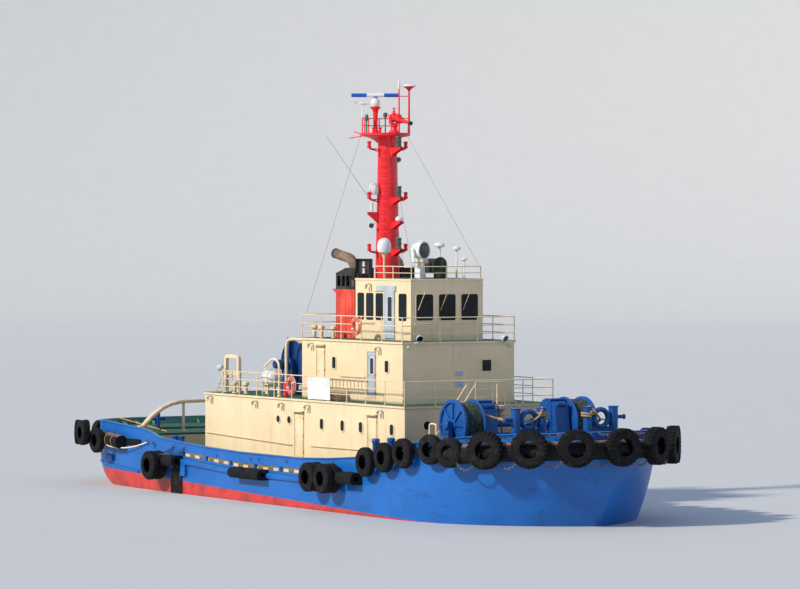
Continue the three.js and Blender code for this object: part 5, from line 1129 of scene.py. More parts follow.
for across in ((1, 0, 0), (0.5, 0.866, 0), (-0.5, 0.866, 0)):
    barrel.append(pipe([wheel - 0.1 * np.array(across), wheel + 0.1 * np.array(across)], 0.009, 6))
fit("monitor_tube", barrel, mast_red, "monitor_barrel", body="monitor_barrel")
# A black tip over the barrel's end, and a black cone inside it that closes the bore: painted shade of the
# bore.
MUZZLE_AND_BORE_SHADE = [(0.0635, 1.25), (0.0815, 1.25), (0.083, 1.365), (0.0625, 1.366), (0.0, 1.3)]
fit("monitor_muzzle", [lathe(MUZZLE_AND_BORE_SHADE, TRUNNION, aim, 24, capped=False)], dark_finish_and_painted_shade, body="monitor_barrel")

# The searchlight: a white drum lamp with a dark glass, tipped in a fork that turns on a square pedestal of
# steel. The pedestal is welded to the roof; the fork's turned foot stands a few millimetres over it.
LIGHT, LAMP_RISE = np.array([5.0, -0.75, 9.1]), 1.12
ahead, left = axes(math.radians(18))
up = np.array([0, 0, 1.0])


def light_plate(corners, rise, thick):
    """A level plate round the searchlight's axis, from corners of (ahead, left)."""
    return plates([LIGHT + ahead * a + left * b + up * rise for a, b in corners], (0, 0, thick))


SQUARE = np.array([(-1, -1), (1, -1), (1, 1), (-1, 1)])
fit("searchlight_pedestal", [light_plate(SQUARE * 0.15, 0.25, 0.498)], white_paint, bevel=0.02)
FORK_FOOT = [(0.13, 0.505), (0.13, 0.53), (0.085, 0.55), (0.085, 0.62)]
FORK_CHEEK = [(-0.07, 0.61), (0.07, 0.61), (0.06, 1.05), (0.045, 1.2), (0, 1.26), (-0.045, 1.2),
    (-0.06, 1.05)]
fork = [lathe(FORK_FOOT, LIGHT), light_plate(SQUARE * (0.06, 0.435), 0.64, 0.05)]
for outward in (-left, left):
    base = LIGHT + outward * 0.42
    fork += [plates([base + ahead * a + up * b for a, b in FORK_CHEEK], left * 0.03),
        lathe([(0.06, 0), (0.05, 0.03), (0, 0.035)], base + outward * 0.014 + up * LAMP_RISE, outward, 14)]
fit("searchlight_fork", fork, white_paint, "searchlight_yoke", body="searchlight_yoke", bevel=0.006)
LAMP_DRUM = [(0, -0.3), (0.12, -0.295), (0.22, -0.26), (0.3, -0.19), (0.335, -0.1), (0.345, 0.0),
    (0.345, 0.18), (0.36, 0.19), (0.36, 0.25), (0.335, 0.26), (0.32, 0.255), (0.31, 0.16)]
lamp_at = LIGHT + up * LAMP_RISE
handle = [lamp_at + ahead * a + up * b for a, b in ((-0.12, 0.335), (-0.1, 0.4), (0.1, 0.4), (0.12, 0.335))]
lamp = [lathe(LAMP_DRUM, lamp_at, ahead, 40), pipe(handle, 0.014)]
lamp += [lathe([(0.045, 0.33), (0.045, 0.395), (0, 0.3995)], lamp_at, outward, 14) for outward in (-left,
    left)]
fit("searchlight_drum", lamp, white_paint, "searchlight_lamp", body="searchlight_lamp")
# Smoky dark glass: its dark tint is painted shade, standing for the unlit insides behind the door panes and
# lamp lenses.
coat = Finish("glass_with_painted_inner_shade", "window_glass")
inner_shade_tint = coat.mix(coat.noise(4, 3), srgb(16, 18, 20), srgb(34, 38, 40))
glass_with_painted_inner_shade = coat.done(inner_shade_tint, 0.12, coat.rough(6, 3, 0.002, 0.3), Coat_Weight=0.3)
LENS = [(0, 0.235), (0.15, 0.228), (0.31, 0.205), (0.31, 0.165)]
fit("searchlight_lens", [lathe(LENS, lamp_at, ahead, 40)], glass_with_painted_inner_shade, body="searchlight_lamp")

# The bow winch: two spoked rope drums on one shaft, with gear cases, motors and brake bands between blue
# frames. The drums are wound with dark towing rope. The frames are welded plate with bolted covers. A light
# tan pennant runs from the starboard drum towards the fairlead and ends in a yellow eye.
machine_blue = painted("machine_blue", "hull_blue", (10, 84, 158), rust=0.55, wave=0.01)
WINCH_X, WINCH_Z, DRUM_IN = 11.1, 3.6, 2.06
foot = float(deck_height(WINCH_X - 1.0)) - 0.03
GEAR_CASE = [(-0.8, foot), (0.8, foot), (0.68, foot + 0.9), (0.52, 4.22), (0.3, 4.4), (0.15, 4.48),
    (-0.35, 4.48), (-0.55, 4.28), (-0.72, 3.95)]
OUTER_FRAME = [(-0.24, foot), (0.24, foot), (0.13, 3.77), (-0.13, 3.77)]
# Columns: middle from the shaft and the foot, size.
WINCH_BLOCKS = [((-0.075, -3.225, 0.2), (1.85, 0.15, 0.4)), ((-0.85, -1.65, 0.12), (0.3, 3.3, 0.24)),
    ((0.7, -1.65, 0.215), (0.3, 3.3, 0.43)), ((0.55, -0.92, 0.72), (0.58, 0.82, 1.1)),
    ((0.02, -1.64, 4.5 - foot), (0.44, 0.66, 0.05)), ((0.63, -1.64, 0.8), (0.26, 0.5, 0.4)),
    ((0.42, -1.64, 4.32 - foot), (0.36, 0.44, 0.1)), ((-0.6, -0.55, 0.42), (0.4, 0.5, 0.4))]
MOTOR = [(0.19, 0), (0.19, 0.03), (0.165, 0.04), (0.165, 0.5), (0.14, 0.56), (0, 0.57)]
ACROSS, OUTWARD = (0, 1, 0), (0, -1, 0)
winch_foot = np.array([WINCH_X, 0, foot])
bolts = [(WINCH_X + 0.15 * math.cos(a), -3.353, WINCH_Z + 0.15 * math.sin(a)) for a in turns(6)]
winch = [flat_plate([(WINCH_X + x, z) for x, z in GEAR_CASE], (0, 0.62, 0), y=-1.64),
    flat_plate([(WINCH_X + x, z) for x, z in OUTER_FRAME], (0, 0.17, 0), y=-3.19),
    *slabs(*[(winch_foot + middle, size) for middle, size in WINCH_BLOCKS]),
    lathe([(0.16, 0), (0.16, 0.1), (0.12, 0.13), (0, 0.135)], (WINCH_X, -1.331, WINCH_Z), ACROSS),
    rod(0.12, 1.34, (WINCH_X, -1.34, WINCH_Z), ACROSS, 20), lathe(MOTOR, winch_foot + (0.841, -0.92, 1.02),
    (1, 0, 0), 22), lathe([(0.1, 0), (0.1, 0.05), (0.05, 0.07)], [(WINCH_X + 0.3, -1.949, 3.95),
    (WINCH_X - 0.35, -1.949, 3.75)], OUTWARD, 18), lathe([(0.19, 0), (0.19, 0.05), (0.14, 0.08)],
    (WINCH_X, -3.274, WINCH_Z), OUTWARD), rod(0.014, 0.016, bolts, OUTWARD, 6),
    pipe([(WINCH_X + 0.25, -1.3, 4.46), (WINCH_X + 0.25, -1.1, 4.3), (WINCH_X + 0.3, -0.95, foot + 1.27)],
    0.03, 10)]
fit("bow_winch_frames", both(winch), machine_blue, "bow_winch_frame", bevel=0.012)
DRUM = [(0.13, -0.1095), (0.13, 0), (0.96, 0), (0.98, 0.01), (0.98, 0.06), (0.96, 0.07), (0.64, 0.07),
    (0.64, 0.82), (0.96, 0.82), (0.98, 0.83), (0.98, 0.94), (0.965, 0.95), (0.865, 0.95), (0.85, 0.935),
    (0.85, 0.885), (0.24, 0.885), (0.22, 0.95), (0.13, 0.97), (0.13, 1.0195)]
drum_at = np.array([WINCH_X, -DRUM_IN, WINCH_Z])
hub = drum_at - (0, 0.885, 0)
drum = [lathe(DRUM, drum_at, OUTWARD, 64)]
for angle in turns(8):
    radial, tangent = axes(angle, 0, 2)
    spoke = [hub + radial * r - (0, d, 0) for r, d in ((0.2, 0), (0.86, 0), (0.86, 0.055), (0.2, 0.06))]
    drum.append(plates(spoke, tangent * 0.055))
drum.append(rod(0.022, 0.02, [hub + axes(a + 0.39, 0, 2)[0] * 0.55 + (0, 0.001, 0) for a in turns(4)],
    OUTWARD, 8))
tow_rope = mottled("towing_rope", "rubber", (9, 7, 0.38, 0.68), (34, 46, 42), (78, 90, 74), 0.9,
    (38, 6, 0.02, 0.9), (1, 0.4, 1))


def wound(inner, outer, radius, wire, at, axis, sides=72):
    """Rope wound on a drum: the profile bulges by half a rope at each turn between two flanges."""
    along = np.linspace(inner, outer, int((outer - inner) / wire * 8) + 1)
    bulge = radius + 0.3 * wire * np.abs(np.sin((along - inner) / wire * math.pi))
    profile = np.concatenate([[(radius * 0.8, inner)], np.stack([bulge, along], axis=-1),
        [(radius * 0.8, outer)]])
    return lathe(profile, at, axis, sides, closed=True)


drum_rope = [wound(0.072, 0.818, 0.86, 0.083, drum_at, OUTWARD)]
for side, turned in SIDES:
    body = "bow_drum" + side
    fit(body + "_flanges", turned(drum), machine_blue, body, body=body, sharp=35)
    fit(body + "_rope", turned(drum_rope), tow_rope, body=body, sharp=70)
tan_rope = mottled("tan_rope", "rubber", (20, 7, 0.35, 0.7), (206, 172, 128), (150, 116, 78), 0.9,
    (70, 6, 0.004, 0.8))
yellow_rope = painted("yellow_rope", "rubber", (232, 178, 60), rust=0.2, roughness=0.85)


def rope(path, radius, lay=7.0):
    """A three-strand rope along a path: a section with three lobes that turn once in a lay, given in
    radii."""
    path = np.asarray(path, float)
    even = np.linspace(0, path_length(path), max(4, int(path_length(path) / (radius * 1.1))))
    angle = turns(12)
    twist = even[:, None] / (lay * radius) * 2 * math.pi
    lobes = radius * (0.82 + 0.18 * np.abs(np.cos(1.5 * (angle - twist))))
    section = np.stack([lobes * np.cos(angle), lobes * np.sin(angle)], axis=-1)
    return sweep(along_path(path, even), section, up=(0.13, 0.21, 0.97))


def smooth(points, count=40):
    """A curve through a few points, by cubic pieces with mean slopes, at evenly spaced parameters."""
    points = np.asarray(points, float)
    slope = np.gradient(points, axis=0)
    t = np.linspace(0, len(points) - 1, count)
    i = np.minimum(t.astype(int), len(points) - 2)
    return cubic(points[i], points[i + 1], slope[i], slope[i + 1], (t - i)[:, None])


PENNANT = [(11.15, -2.65, 4.5), (11.36, -2.52, 4.38), (11.6, -2.3, 4.2), (11.82, -2.0, 4.02),
    (12.0, -1.7, 3.9), (12.16, -1.45, 3.82)]
PENNANT_EYE = [(12.1, -1.55, 3.85), (12.18, -1.42, 3.81), (12.26, -1.3, 3.77)]
fit("bow_pennant", [rope(smooth(PENNANT), 0.045)], tan_rope)
fit("bow_pennant_eye", [rope(smooth(PENNANT_EYE, 8), 0.062)], yellow_rope)

# The bow bitts: four tall posts with cap plates on a common bed, and a thick ring fairlead in each pair's
# web. Tan hawsers are turned round the posts and led out through the rings. Short stub bars stand out from
# the outer posts.
BITTS_X, POST_TOP, INNER_POST, OUTER_POST, RING_Y = 14.33, 4.352, -1.04, -2.2, -1.62
foot = float(deck_height(BITTS_X - 0.35)) - 0.03
BITT_POST = np.array([(0.23, 0), (0.23, 0.02), (0.18, 0.04), (0.18, 1.72), (0.205, 1.73), (0.21, 1.745),
    (0.205, 1.765), (0, 1.77)])
post_scale = (1, (POST_TOP - foot) / 1.77)
bitts = [lathe(BITT_POST * post_scale, [(BITTS_X, INNER_POST, foot), (BITTS_X, OUTER_POST, foot)], sides=32),
    lathe(disc(0.095, 20, 0.115 / 0.095) + (0.325, 0), (BITTS_X, RING_Y, 3.9), (1, 0, 0), 48, closed=True),
    *slabs(((BITTS_X, -1.28, foot + 0.11), (0.7, 2.54, 0.22)), ((BITTS_X, RING_Y, (foot + 3.56) / 2),
    (0.1, 1.0, 3.5 - foot)), ((BITTS_X, -1.3, 3.55), (0.2, 0.24, 0.06)), ((BITTS_X, -1.94, 3.55),
    (0.2, 0.24, 0.06)))]
WEB = [(BITTS_X - 0.3, foot + 0.22), (BITTS_X + 0.3, foot + 0.22), (BITTS_X + 0.08, 3.5),
    (BITTS_X - 0.08, 3.5)]
bitts += [flat_plate(WEB, (0, 0.025, 0), y=y) for y in (-1.22, -2.02)]
STUB = [(0.07, 0), (0.07, 0.46), (0.1, 0.47), (0.1, 0.51), (0, 0.515)]
bitts.append(lathe(STUB, (BITTS_X, OUTER_POST, 3.93), OUTWARD, 18))
fit("bow_bitt_posts", both(bitts), machine_blue, "bow_bitts", bevel=0.01)
COIL_TURNS, HAWSER_RADIUS = 2, 0.043
t = np.linspace(0, COIL_TURNS * 2 * math.pi, COIL_TURNS * 28)
coil = np.stack([BITTS_X + 0.225 * np.cos(t), INNER_POST + 0.225 * np.sin(t), 3.98 + 0.09 * t
    / (2 * math.pi)], axis=-1)
lead = np.array([(0.02, -1.04, 4.36), (0.2, -1.16, 4.24), (0.24, -1.3, 4.05), (0.14, -1.5, 3.88),
    (0.02, -1.58, 3.8), (-0.2, -1.62, 3.76)]) + (BITTS_X, 0, 0)
fit("bow_hawser_turns", both([rope(coil, HAWSER_RADIUS), rope(smooth(lead), HAWSER_RADIUS)]), tan_rope,
    sharp=70)

# The hawser reel on the boat deck, with its frame, hydraulic motor and guard hoop.
# It is wound with dark towing rope; the frame is welded plate.
REEL_X, REEL_Z, REEL_END = -4.5, 5.45, -1.18
base = BOAT_DECK + 0.0004
REEL_CHEEK = [(REEL_X - 0.7, base), (REEL_X + 0.7, base), (REEL_X + 0.22, 5.7), (REEL_X - 0.22, 5.7)]
REEL_MOTOR = [(0.27, 0), (0.27, 0.05), (0.23, 0.06), (0.23, 0.24), (0.2, 0.27), (0.2, 0.5), (0.175, 0.56),
    (0.16, 0.66), (0, 0.68)]
reel_frame = [flat_plate(REEL_CHEEK, (0, 0.17, 0), y=-1.33), *slabs(((REEL_X - 0.63, -0.71, base + 0.06),
    (0.14, 1.42, 0.12)), ((REEL_X + 0.63, -0.71, base + 0.06), (0.14, 1.42, 0.12)), ((REEL_X, -1.33, 6.08),
    (0.16, 0.16, 0.95)), ((REEL_X, -0.71, 6.515), (0.16, 1.42, 0.09))),
    lathe([(0.2, 0), (0.2, 0.03), (0.13, 0.05)], (REEL_X, -1.414, REEL_Z), OUTWARD)]
reel_motor = lathe(REEL_MOTOR, (REEL_X, -1.4, REEL_Z), OUTWARD, 32)
reel_blue = painted("reel_blue", "hull_blue", (10, 62, 122), wave=0.01)
fit("reel_frames", both(reel_frame) + [reel_motor], reel_blue, "reel_frame", bevel=0.01)
REEL = [(0.11, -0.0595), (0.11, 0.0), (0.965, 0), (0.98, 0.01), (0.98, 0.05), (0.965, 0.06), (0.6, 0.065),
    (0.6, 2.295), (0.965, 2.3), (0.98, 2.31), (0.98, 2.35), (0.965, 2.36), (0.11, 2.36), (0.11, 2.4195)]
REEL_LIP = [(0.93, 0), (0.98, 0), (0.98, 0.03), (0.93, 0.03)]
reel = [lathe(REEL, (REEL_X, REEL_END, REEL_Z), ACROSS, 64), lathe(REEL_LIP, [(REEL_X, -1.205, REEL_Z),
    (REEL_X, 1.175, REEL_Z)], ACROSS, 64, closed=True)]
fit("reel_drum_flanges", reel, reel_blue, "reel_drum", body="reel_drum", sharp=35)
reel_rope = wound(0.068, 2.292, 0.84, 0.09, (REEL_X, REEL_END, REEL_Z), ACROSS)
fit("reel_drum_rope", [reel_rope], tow_rope, body="reel_drum", sharp=70)
HOOP_Y, ON_DECK = -1.7, BOAT_DECK + 0.0006
HOOP = [(-4.11, ON_DECK - 0.0002), (-4.11, 5.2), (-4.11, 6.1), (-3.98, 6.42), (-3.66, 6.515), (-2.5, 6.52),
    (-1.285, 6.52)]
hoop = smooth(np.insert(HOOP, 1, HOOP_Y, axis=1), 60)
hoop_foot = lathe([(0.15, 0), (0.15, 0.02), (0.08, 0.03)], (-4.11, HOOP_Y, ON_DECK), sides=20)
fit("reel_hoop_pipe", [pipe(hoop, 0.07, 18, up=ACROSS), hoop_foot], house_paint, "reel_hoop")

# The vent arch aft, the life raft in its cradle, and the davit whose head has a white tip.
# The raft is a white moulded capsule in two halves, banded; it lies on a cream pipe cradle.
# The arch is welded from square trunk with rounded corners.
ARCH = [(-7.4, ON_DECK), (-7.4, 5.6), (-7.36, 5.7), (-7.27, 5.735), (-6.42, 5.735), (-6.33, 5.7),
    (-6.29, 5.6), (-6.29, ON_DECK)]
trunk = SQUARE * (0.075, 0.072)
vent = [sweep(np.insert(ARCH, 1, -2.75, axis=1), trunk, up=ACROSS),
    *slabs(((-6.845, -2.75, 5.025), (1.0, 0.14, 0.12)), ((-7.4, -2.75, 4.235), (0.26, 0.26, 0.03)),
    ((-6.29, -2.75, 4.235), (0.26, 0.26, 0.03)))]
fit("vent_arch_trunk", vent, house_paint, "vent_arch", bevel=0.008)
RAFT = np.array([-3.43, -2.78, 4.95])
CAPSULE = [(0, -0.43), (0.16, -0.425), (0.27, -0.36), (0.33, -0.26), (0.35, -0.15), (0.35, -0.02),
    (0.362, -0.015)]
CAPSULE = np.array(CAPSULE + [(r, -z) for r, z in CAPSULE[::-1]])
fit("raft_capsule", [lathe(CAPSULE, RAFT, (1, 0, 0), 36)], white_paint, "life_raft", sharp=30)
BAND = [(0.352, -0.02), (0.358, -0.02), (0.358, 0.02), (0.352, 0.02)]
cradle = [lathe(BAND, [RAFT - (0.22, 0, 0), RAFT + (0.22, 0, 0)], (1, 0, 0), 36, closed=True)]
under = np.linspace(math.pi * 1.12, math.pi * 1.88, 16)
legs_y = (RAFT[1] - 0.3, RAFT[1] + 0.3)
for x in (-3.65, -3.21):
    bow = np.stack([x + 0 * under, RAFT[1] + 0.385 * np.cos(under), RAFT[2] + 0.385 * np.sin(under)], axis=-1)
    cradle += [pipe(bow, 0.022, 10, up=(1, 0, 0)), *[pipe([(x, y, ON_DECK), (x, y, 4.71)], 0.026, 10)
        for y in legs_y]]
cradle += [pipe([(-3.66, y, z), (-3.2, y, z)], 0.02) for y in legs_y for z in (4.4, 4.68)]
fit("raft_cradle", cradle, house_paint)
DAVIT_Y = -3.08
DAVIT = [(-2.25, ON_DECK), (-2.25, 4.8), (-2.25, 5.28), (-2.35, 5.62), (-2.7, 5.74), (-3.1, 5.62),
    (-3.5, 5.4)]
COLLAR = [(0.1, 0), (0.1, 0.02), (0.075, 0.04), (0.075, 0.34)]
SHEAVE = [(0.045, -0.02), (0.03, -0.006), (0.03, 0.006), (0.045, 0.02)]
davit = smooth(np.insert(DAVIT, 1, DAVIT_Y, axis=1), 48)
arm = [pipe(davit, 0.048, 16, up=ACROSS), lathe(COLLAR, (-2.25, DAVIT_Y, ON_DECK), sides=20),
    lathe(SHEAVE, (-3.44, DAVIT_Y, 5.33), ACROSS, 16)]
fit("davit_arm", arm, house_paint, "davit", body="davit")
fit("davit_tip", [pipe(davit[26:35], 0.054, 16, up=ACROSS)], white_paint, body="davit")

# The towing bow: a broad box beam arched from rail to rail over the after deck, on two posts.
# It is cream, rubbed bare along the top where the hawser slides.
BOW_X = -11.6
BOW_LINE = [(-4.75, rail_height(BOW_X) + 0.01), (-4.55, 2.64), (-4.33, 2.86), (-4.11, 3.06), (-3.83, 3.26),
    (-3.55, 3.43), (-3.22, 3.56), (-2.89, 3.63), (-2.55, 3.67), (-1.6, 3.682), (-0.8, 3.688), (0, 3.69)]
full_line = np.array(BOW_LINE + [(-y, z) for y, z in BOW_LINE[-2::-1]])
BOW_BEAM = [(-0.13, -0.055), (-0.11, -0.075), (0.11, -0.075), (0.13, -0.055), (0.13, 0.055), (0.11, 0.075),
    (-0.11, 0.075), (-0.13, 0.055)]
BOW_POST = [(0.12, 0), (0.12, 0.02), (0.062, 0.04), (0.058, 1.22)]
coat = Finish("towing_bow_paint", "house_cream")
cream = coat.mix(coat.patch(2.0, 7, 0.35, 0.68), srgb(252, 226, 180), srgb(226, 196, 148))
rubbed = coat.mix(coat.patch(7, 8, 0.58, 0.68), cream, srgb(140, 96, 62), 0.6)
bow_paint = coat.done(rubbed, 0.5, coat.rough(30, 5, 0.003, 0.5))
tow_bow = [sweep(smooth(np.insert(full_line, 0, BOW_X, axis=1), 140), BOW_BEAM),
    *both([lathe(BOW_POST, (BOW_X, -2.58, 2.4), sides=18)])]
fit("towing_bow_beam", tow_bow, bow_paint, "towing_bow", sharp=50)

# Bitts on the after deck: posts with a cross arm on one bed, and low twin bollards by the rail further
# forward. They are cast steel, painted blue, on beds of plate.
AFT_POST = [(0.15, 0), (0.15, 0.02), (0.117, 0.03), (0.117, 0.69), (0.13, 0.7), (0.13, 0.72), (0.1, 0.73)]
CROSS_ARM = [(0.085, -0.33), (0.085, -0.3), (0.07, -0.29), (0.07, 0.29), (0.085, 0.3), (0.085, 0.33)]
LOW_POST = np.array([(0.13, 0), (0.13, 0.62), (0.16, 0.64), (0.16, 0.7), (0.13, 0.72)])
fit("quarter_bitt_beds", both(slabs(((-13.5, -1.525, 2.44), (0.4, 3.05, 0.09)))), deck_paint, bevel=0.01)
aft_bitts = [lathe(AFT_POST, (-13.5, -2.85, 2.4)), lathe(CROSS_ARM, (-13.5, -2.85, 2.85), ACROSS, 18)]
fit("quarter_bitt_posts", both(aft_bitts), machine_blue, "quarter_bitts", bevel=0.008)
bollards = [lathe(LOW_POST, [(-9.7, -3.95, 1.61), (-9.18, -3.95, 1.61)], sides=22),
    *slabs(((-9.44, -3.95, 1.64), (0.95, 0.4, 0.06))), lathe(LOW_POST * (1, 1.96), (7.0, -3.95, 1.53),
    sides=22), lathe(LOW_POST * (1, 1.86), (8.16, -3.95, 1.68), sides=22)]
fit("side_bollards", both(bollards), machine_blue, bevel=0.006)

# Stairs: flat stringers with plate treads and pipe handrails, two down the front of the deckhouse and one
# down its back. A landing of plate on brackets joins the front ones to the boat deck.
def stair(top, bottom, across, steps, rail_rise=0.92):
    """A flight between two points: stringers, level treads and a handrail on three stanchions at each
    side."""
    top, bottom, across = [np.asarray(v, float) for v in (top, bottom, across)]
    run, rise = bottom - top, np.array([0, 0, rail_rise])
    ahead = unit(run * (1, 1, 0))
    treads, pipes = [], []
    for side in (-0.3, 0.3):
        high, low = top + across * side, bottom + across * side
        middle = (high + low) / 2
        treads.append(plates([high - (0, 0, 0.1), high + (0, 0, 0.08), low + (0, 0, 0.08), low - (0, 0, 0.1)],
            across * 0.014))
        rail = [high, high + rise * 0.96, high + rise, middle + rise, low + rise, low + rise * 0.9,
            low + (0, 0, 0.02)]
        pipes += [pipe(rail, 0.021, 10, up=across), pipe([middle, middle + rise], 0.018),
            pipe([high + rise * 0.5, middle + rise * 0.5, low + rise * 0.5], 0.015)]
    for i in range(1, steps):
        corners = [top + run * i / steps + across * a + ahead * b for a, b in SQUARE * (0.295, 0.11)]
        treads.append(plates(corners, (0, 0, 0.03)))
    return treads + pipes


landing = slabs(((8.703, 0, 4.172), (0.75, 1.6, 0.035)), ((8.34, 0, 4.1), (0.02, 1.6, 0.14)),
    ((9.07, 0, 4.13), (0.012, 1.6, 0.12)))
landing += [flat_plate([(8.34, 4.15), (9.06, 4.15), (8.34, 3.62)], (0, 0.014, 0), y=y) for y in (-0.75, 0.75)]
landing += pipe_rail([(9.06, 0.68), (9.06, -0.68)], 4.188, spacing=0.7)
front_stair = stair((8.74, -0.7, 4.09), (8.74, -2.3, 1.84), (1, 0, 0), 8)
fit("front_stair_plates", both(front_stair) + landing, house_paint, "front_stairs")
fit("after_stair_plates", stair((-8.21, 1.1, 4.12), (-9.5, 1.1, 1.65), ACROSS, 9), house_paint, "after_stair")

# Steerable thrusters: a leg under the hull with a nozzle round a bronze screw with four skewed blades.
# The leg and nozzle are grey anti-fouled steel; the screw is cast bronze.
DRIVE = np.array([-13.2, -2.15, -2.9])
drive_grey = painted("drive_grey", "grey_paint", (118, 92, 84), rust=0.8, roughness=0.65)
NOZZLE = [(1.01, -0.42), (1.03, -0.435), (1.07, -0.43), (1.11, -0.34), (1.14, -0.2), (1.15, -0.02),
    (1.148, 0.16), (1.13, 0.28), (1.095, 0.38), (1.06, 0.42), (1.035, 0.4), (1.015, 0.32), (1.01, 0.2)]
HALF_LEG = [(-0.24, 0), (-0.2, 0.1), (-0.08, 0.17), (0.1, 0.18), (0.22, 0.12), (0.28, 0)]
leg_section = HALF_LEG + [(a, -b) for a, b in HALF_LEG[-2:0:-1]]
leg_line = [(DRIVE[0] + 0.45, DRIVE[1], z) for z in (-1.56, -2.1, -2.5, -2.9)]
POD = [(0.2, 0.17), (0.25, 0.28), (0.26, 0.5), (0.22, 0.72), (0.12, 0.86), (0, 0.9)]
thruster = [lathe(NOZZLE, DRIVE, (1, 0, 0), 64, closed=True), lathe([(0.7, 0), (0.7, -0.09), (0.66, -0.12)],
    (DRIVE[0], DRIVE[1], -1.5004), sides=48), sweep(leg_line, leg_section, up=(1, 0, 0)),
    lathe(POD, DRIVE, (1, 0, 0), 32)]
for angle, width in ((-90, 0.12), (42, 0.07), (138, 0.07)):
    radial, flat = axes(math.radians(angle), 1, 2)
    strut = [DRIVE + radial * r + (x, 0, 0) for r, x in ((0.15, 0.2), (1.05, 0.2), (1.05, 0.38),
        (0.15, 0.42))]
    thruster.append(plates(strut, flat * width))
bronze = mottled("bronze", "bronze", (6, 6, 0.35, 0.7), (176, 132, 66), (120, 92, 52), 0.35,
    (30, 5, 0.003, 0.4), Metallic=0.9)
HUB = [(0, -0.36), (0.06, -0.345), (0.12, -0.26), (0.18, -0.14), (0.2, -0.02), (0.2, 0.1695)]
r_line, chord = np.linspace(0.17, 0.945, 16)[:, None], np.linspace(-1, 1, 13)
part = (r_line - 0.17) / 0.775
along = (0.19 + 0.13 * np.sin(math.pi * part * 0.75) - 0.15 * part ** 6) * chord
skew, pitch = 0.25 * part ** 2, np.radians(62 - 34 * part)
lens = (0.028 * (1 - part) + 0.007) * (1 - chord ** 2)
screw = [lathe(HUB, DRIVE, (1, 0, 0), 40)]
for turned in turns(4):
    faces = []
    for bulge in (-lens, lens):
        axial = along * np.sin(pitch) * 0.72 + bulge * np.cos(pitch)
        swing = (along * np.cos(pitch) - bulge * np.sin(pitch)) / r_line + skew + turned
        faces.append(DRIVE + np.stack([axial, r_line * np.cos(swing), r_line * np.sin(swing)], axis=-1))
    screw.append(skin(capped_ends(np.concatenate([faces[0], faces[1][:, ::-1]], axis=1)), close_v=True))
for side in SIDES:
    fit_pair("thruster_unit", thruster, drive_grey, "thruster", "thruster", [side], sharp=45)
    fit_pair("screw", screw, bronze, "propeller", "propeller", [side], sharp=60)

# Fittings of the houses: guarded lamps on conduits, floodlights on brackets, hinge rods, glass in the door
# leaves. Blank plates and a blank white board stand where notices are fixed. They are small steel and plastic
# pieces, screwed or welded to the walls and rails. Columns: x, half breadth of the wall, height.
WALL_LAMPS = [(-7.46, TIER_1, 4.0), (-3.55, TIER_1, 3.95), (-1.35, TIER_1, 3.93), (0.8, TIER_1, 3.93),
    (6.56, TIER_1, 3.94), (-0.35, TIER_2, 6.38), (4.99, TIER_2, 6.35), (2.72, TIER_3, 8.82)]
LAMP_ARM = np.array([(0.1, -0.014, -0.26), (0.1, -0.014, 0), (0.07, -0.05, 0.045), (-0.01, -0.12, 0.05),
    (-0.07, -0.155, 0.03), (-0.09, -0.16, -0.01)])
GUARD_RING = [(0.058, -0.03), (0.064, -0.03), (0.064, -0.04), (0.058, -0.04)]
hung = np.array([(x - 0.09, -half - 0.16, z) for x, half, z in WALL_LAMPS])
conduits = [pipe(LAMP_ARM + (x, -half, z), 0.022) for x, half, z in WALL_LAMPS]
conduits += [lathe([(0.06, 0), (0.065, -0.03), (0.05, -0.035)], hung, sides=16),
    lathe(GUARD_RING, np.concatenate([hung, hung - (0, 0, 0.07)]), sides=16, closed=True)]
LAMP_GLASS = [(0.046, -0.034), (0.046, -0.11), (0.03, -0.135), (0, -0.14)]
fitting_grey = painted("fitting_grey", "grey_paint", (142, 134, 122))
fit("wall_lamp_arms", both(conduits), fitting_grey)
fit("wall_lamp_glasses", both([lathe(LAMP_GLASS, hung, sides=16)]), white_paint)
# Columns: place of the lamp's middle, direction it faces.
FLOODLIGHTS = [((6.96, -1.94, 6.79), (1, -0.25, -0.45)), ((6.96, 1.98, 6.75), (1, 0.25, -0.45)),
    ((-7.28, -3.1, 5.27), (-1, -0.3, -0.4))]
FLOOD = [(0, -0.14), (0.06, -0.13), (0.12, -0.06), (0.145, 0.02), (0.15, 0.08), (0.13, 0.08), (0.12, 0.03)]
SPEAKER = [(0.05, 0), (0.06, 0.04), (0.06, 0.1), (0.03, 0.14), (0, 0.145)]
floods = [lathe(FLOOD, at, aim) for at, aim in FLOODLIGHTS]
floods += [pipe([(6.742, y * 1.06, 6.6), (6.9, y * 1.03, 6.62), (6.95, y, 6.7)], 0.03, 10) for y in (-1.94,
    1.98)]
floods += [pipe([(-7.1, -3.1, 4.22), (-7.1, -3.1, 4.9), (-7.22, -3.1, 5.18)], 0.025, 10),
    lathe(SPEAKER, [(6.741, -2.37, 6.46), (6.741, 2.34, 6.46)], (1, 0, -0.2), 16)]
fit("floodlights", floods, painted("mint_grey", "grey_paint", (196, 212, 202)))
fit("floodlight_faces", [lathe([(0.125, 0.045), (0.125, 0.032)], at, aim) for at, aim in FLOODLIGHTS],
    glass_with_painted_inner_shade)
hinge_rods = []
for name, half, fore, foot, width, height in DOORS:
    x, y = fore + 0.055, -half - 0.022
    hinge_rods += [pipe([(x, y, foot - 0.02), (x, y, foot + height + 0.1)], 0.014),
        rod(0.024, 0.08, [(x, y, foot + height * f) for f in (0.1, 0.5, 0.9)], sides=10, start=-0.04)]
rust_brown = painted("rusty_steel", "grey_paint", (150, 108, 78), rust=0.6, roughness=0.7)
fit("door_hinge_rods", both(hinge_rods), rust_brown)
sliding_face = float(-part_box("wheelhouse_door_starboard")[0][1])
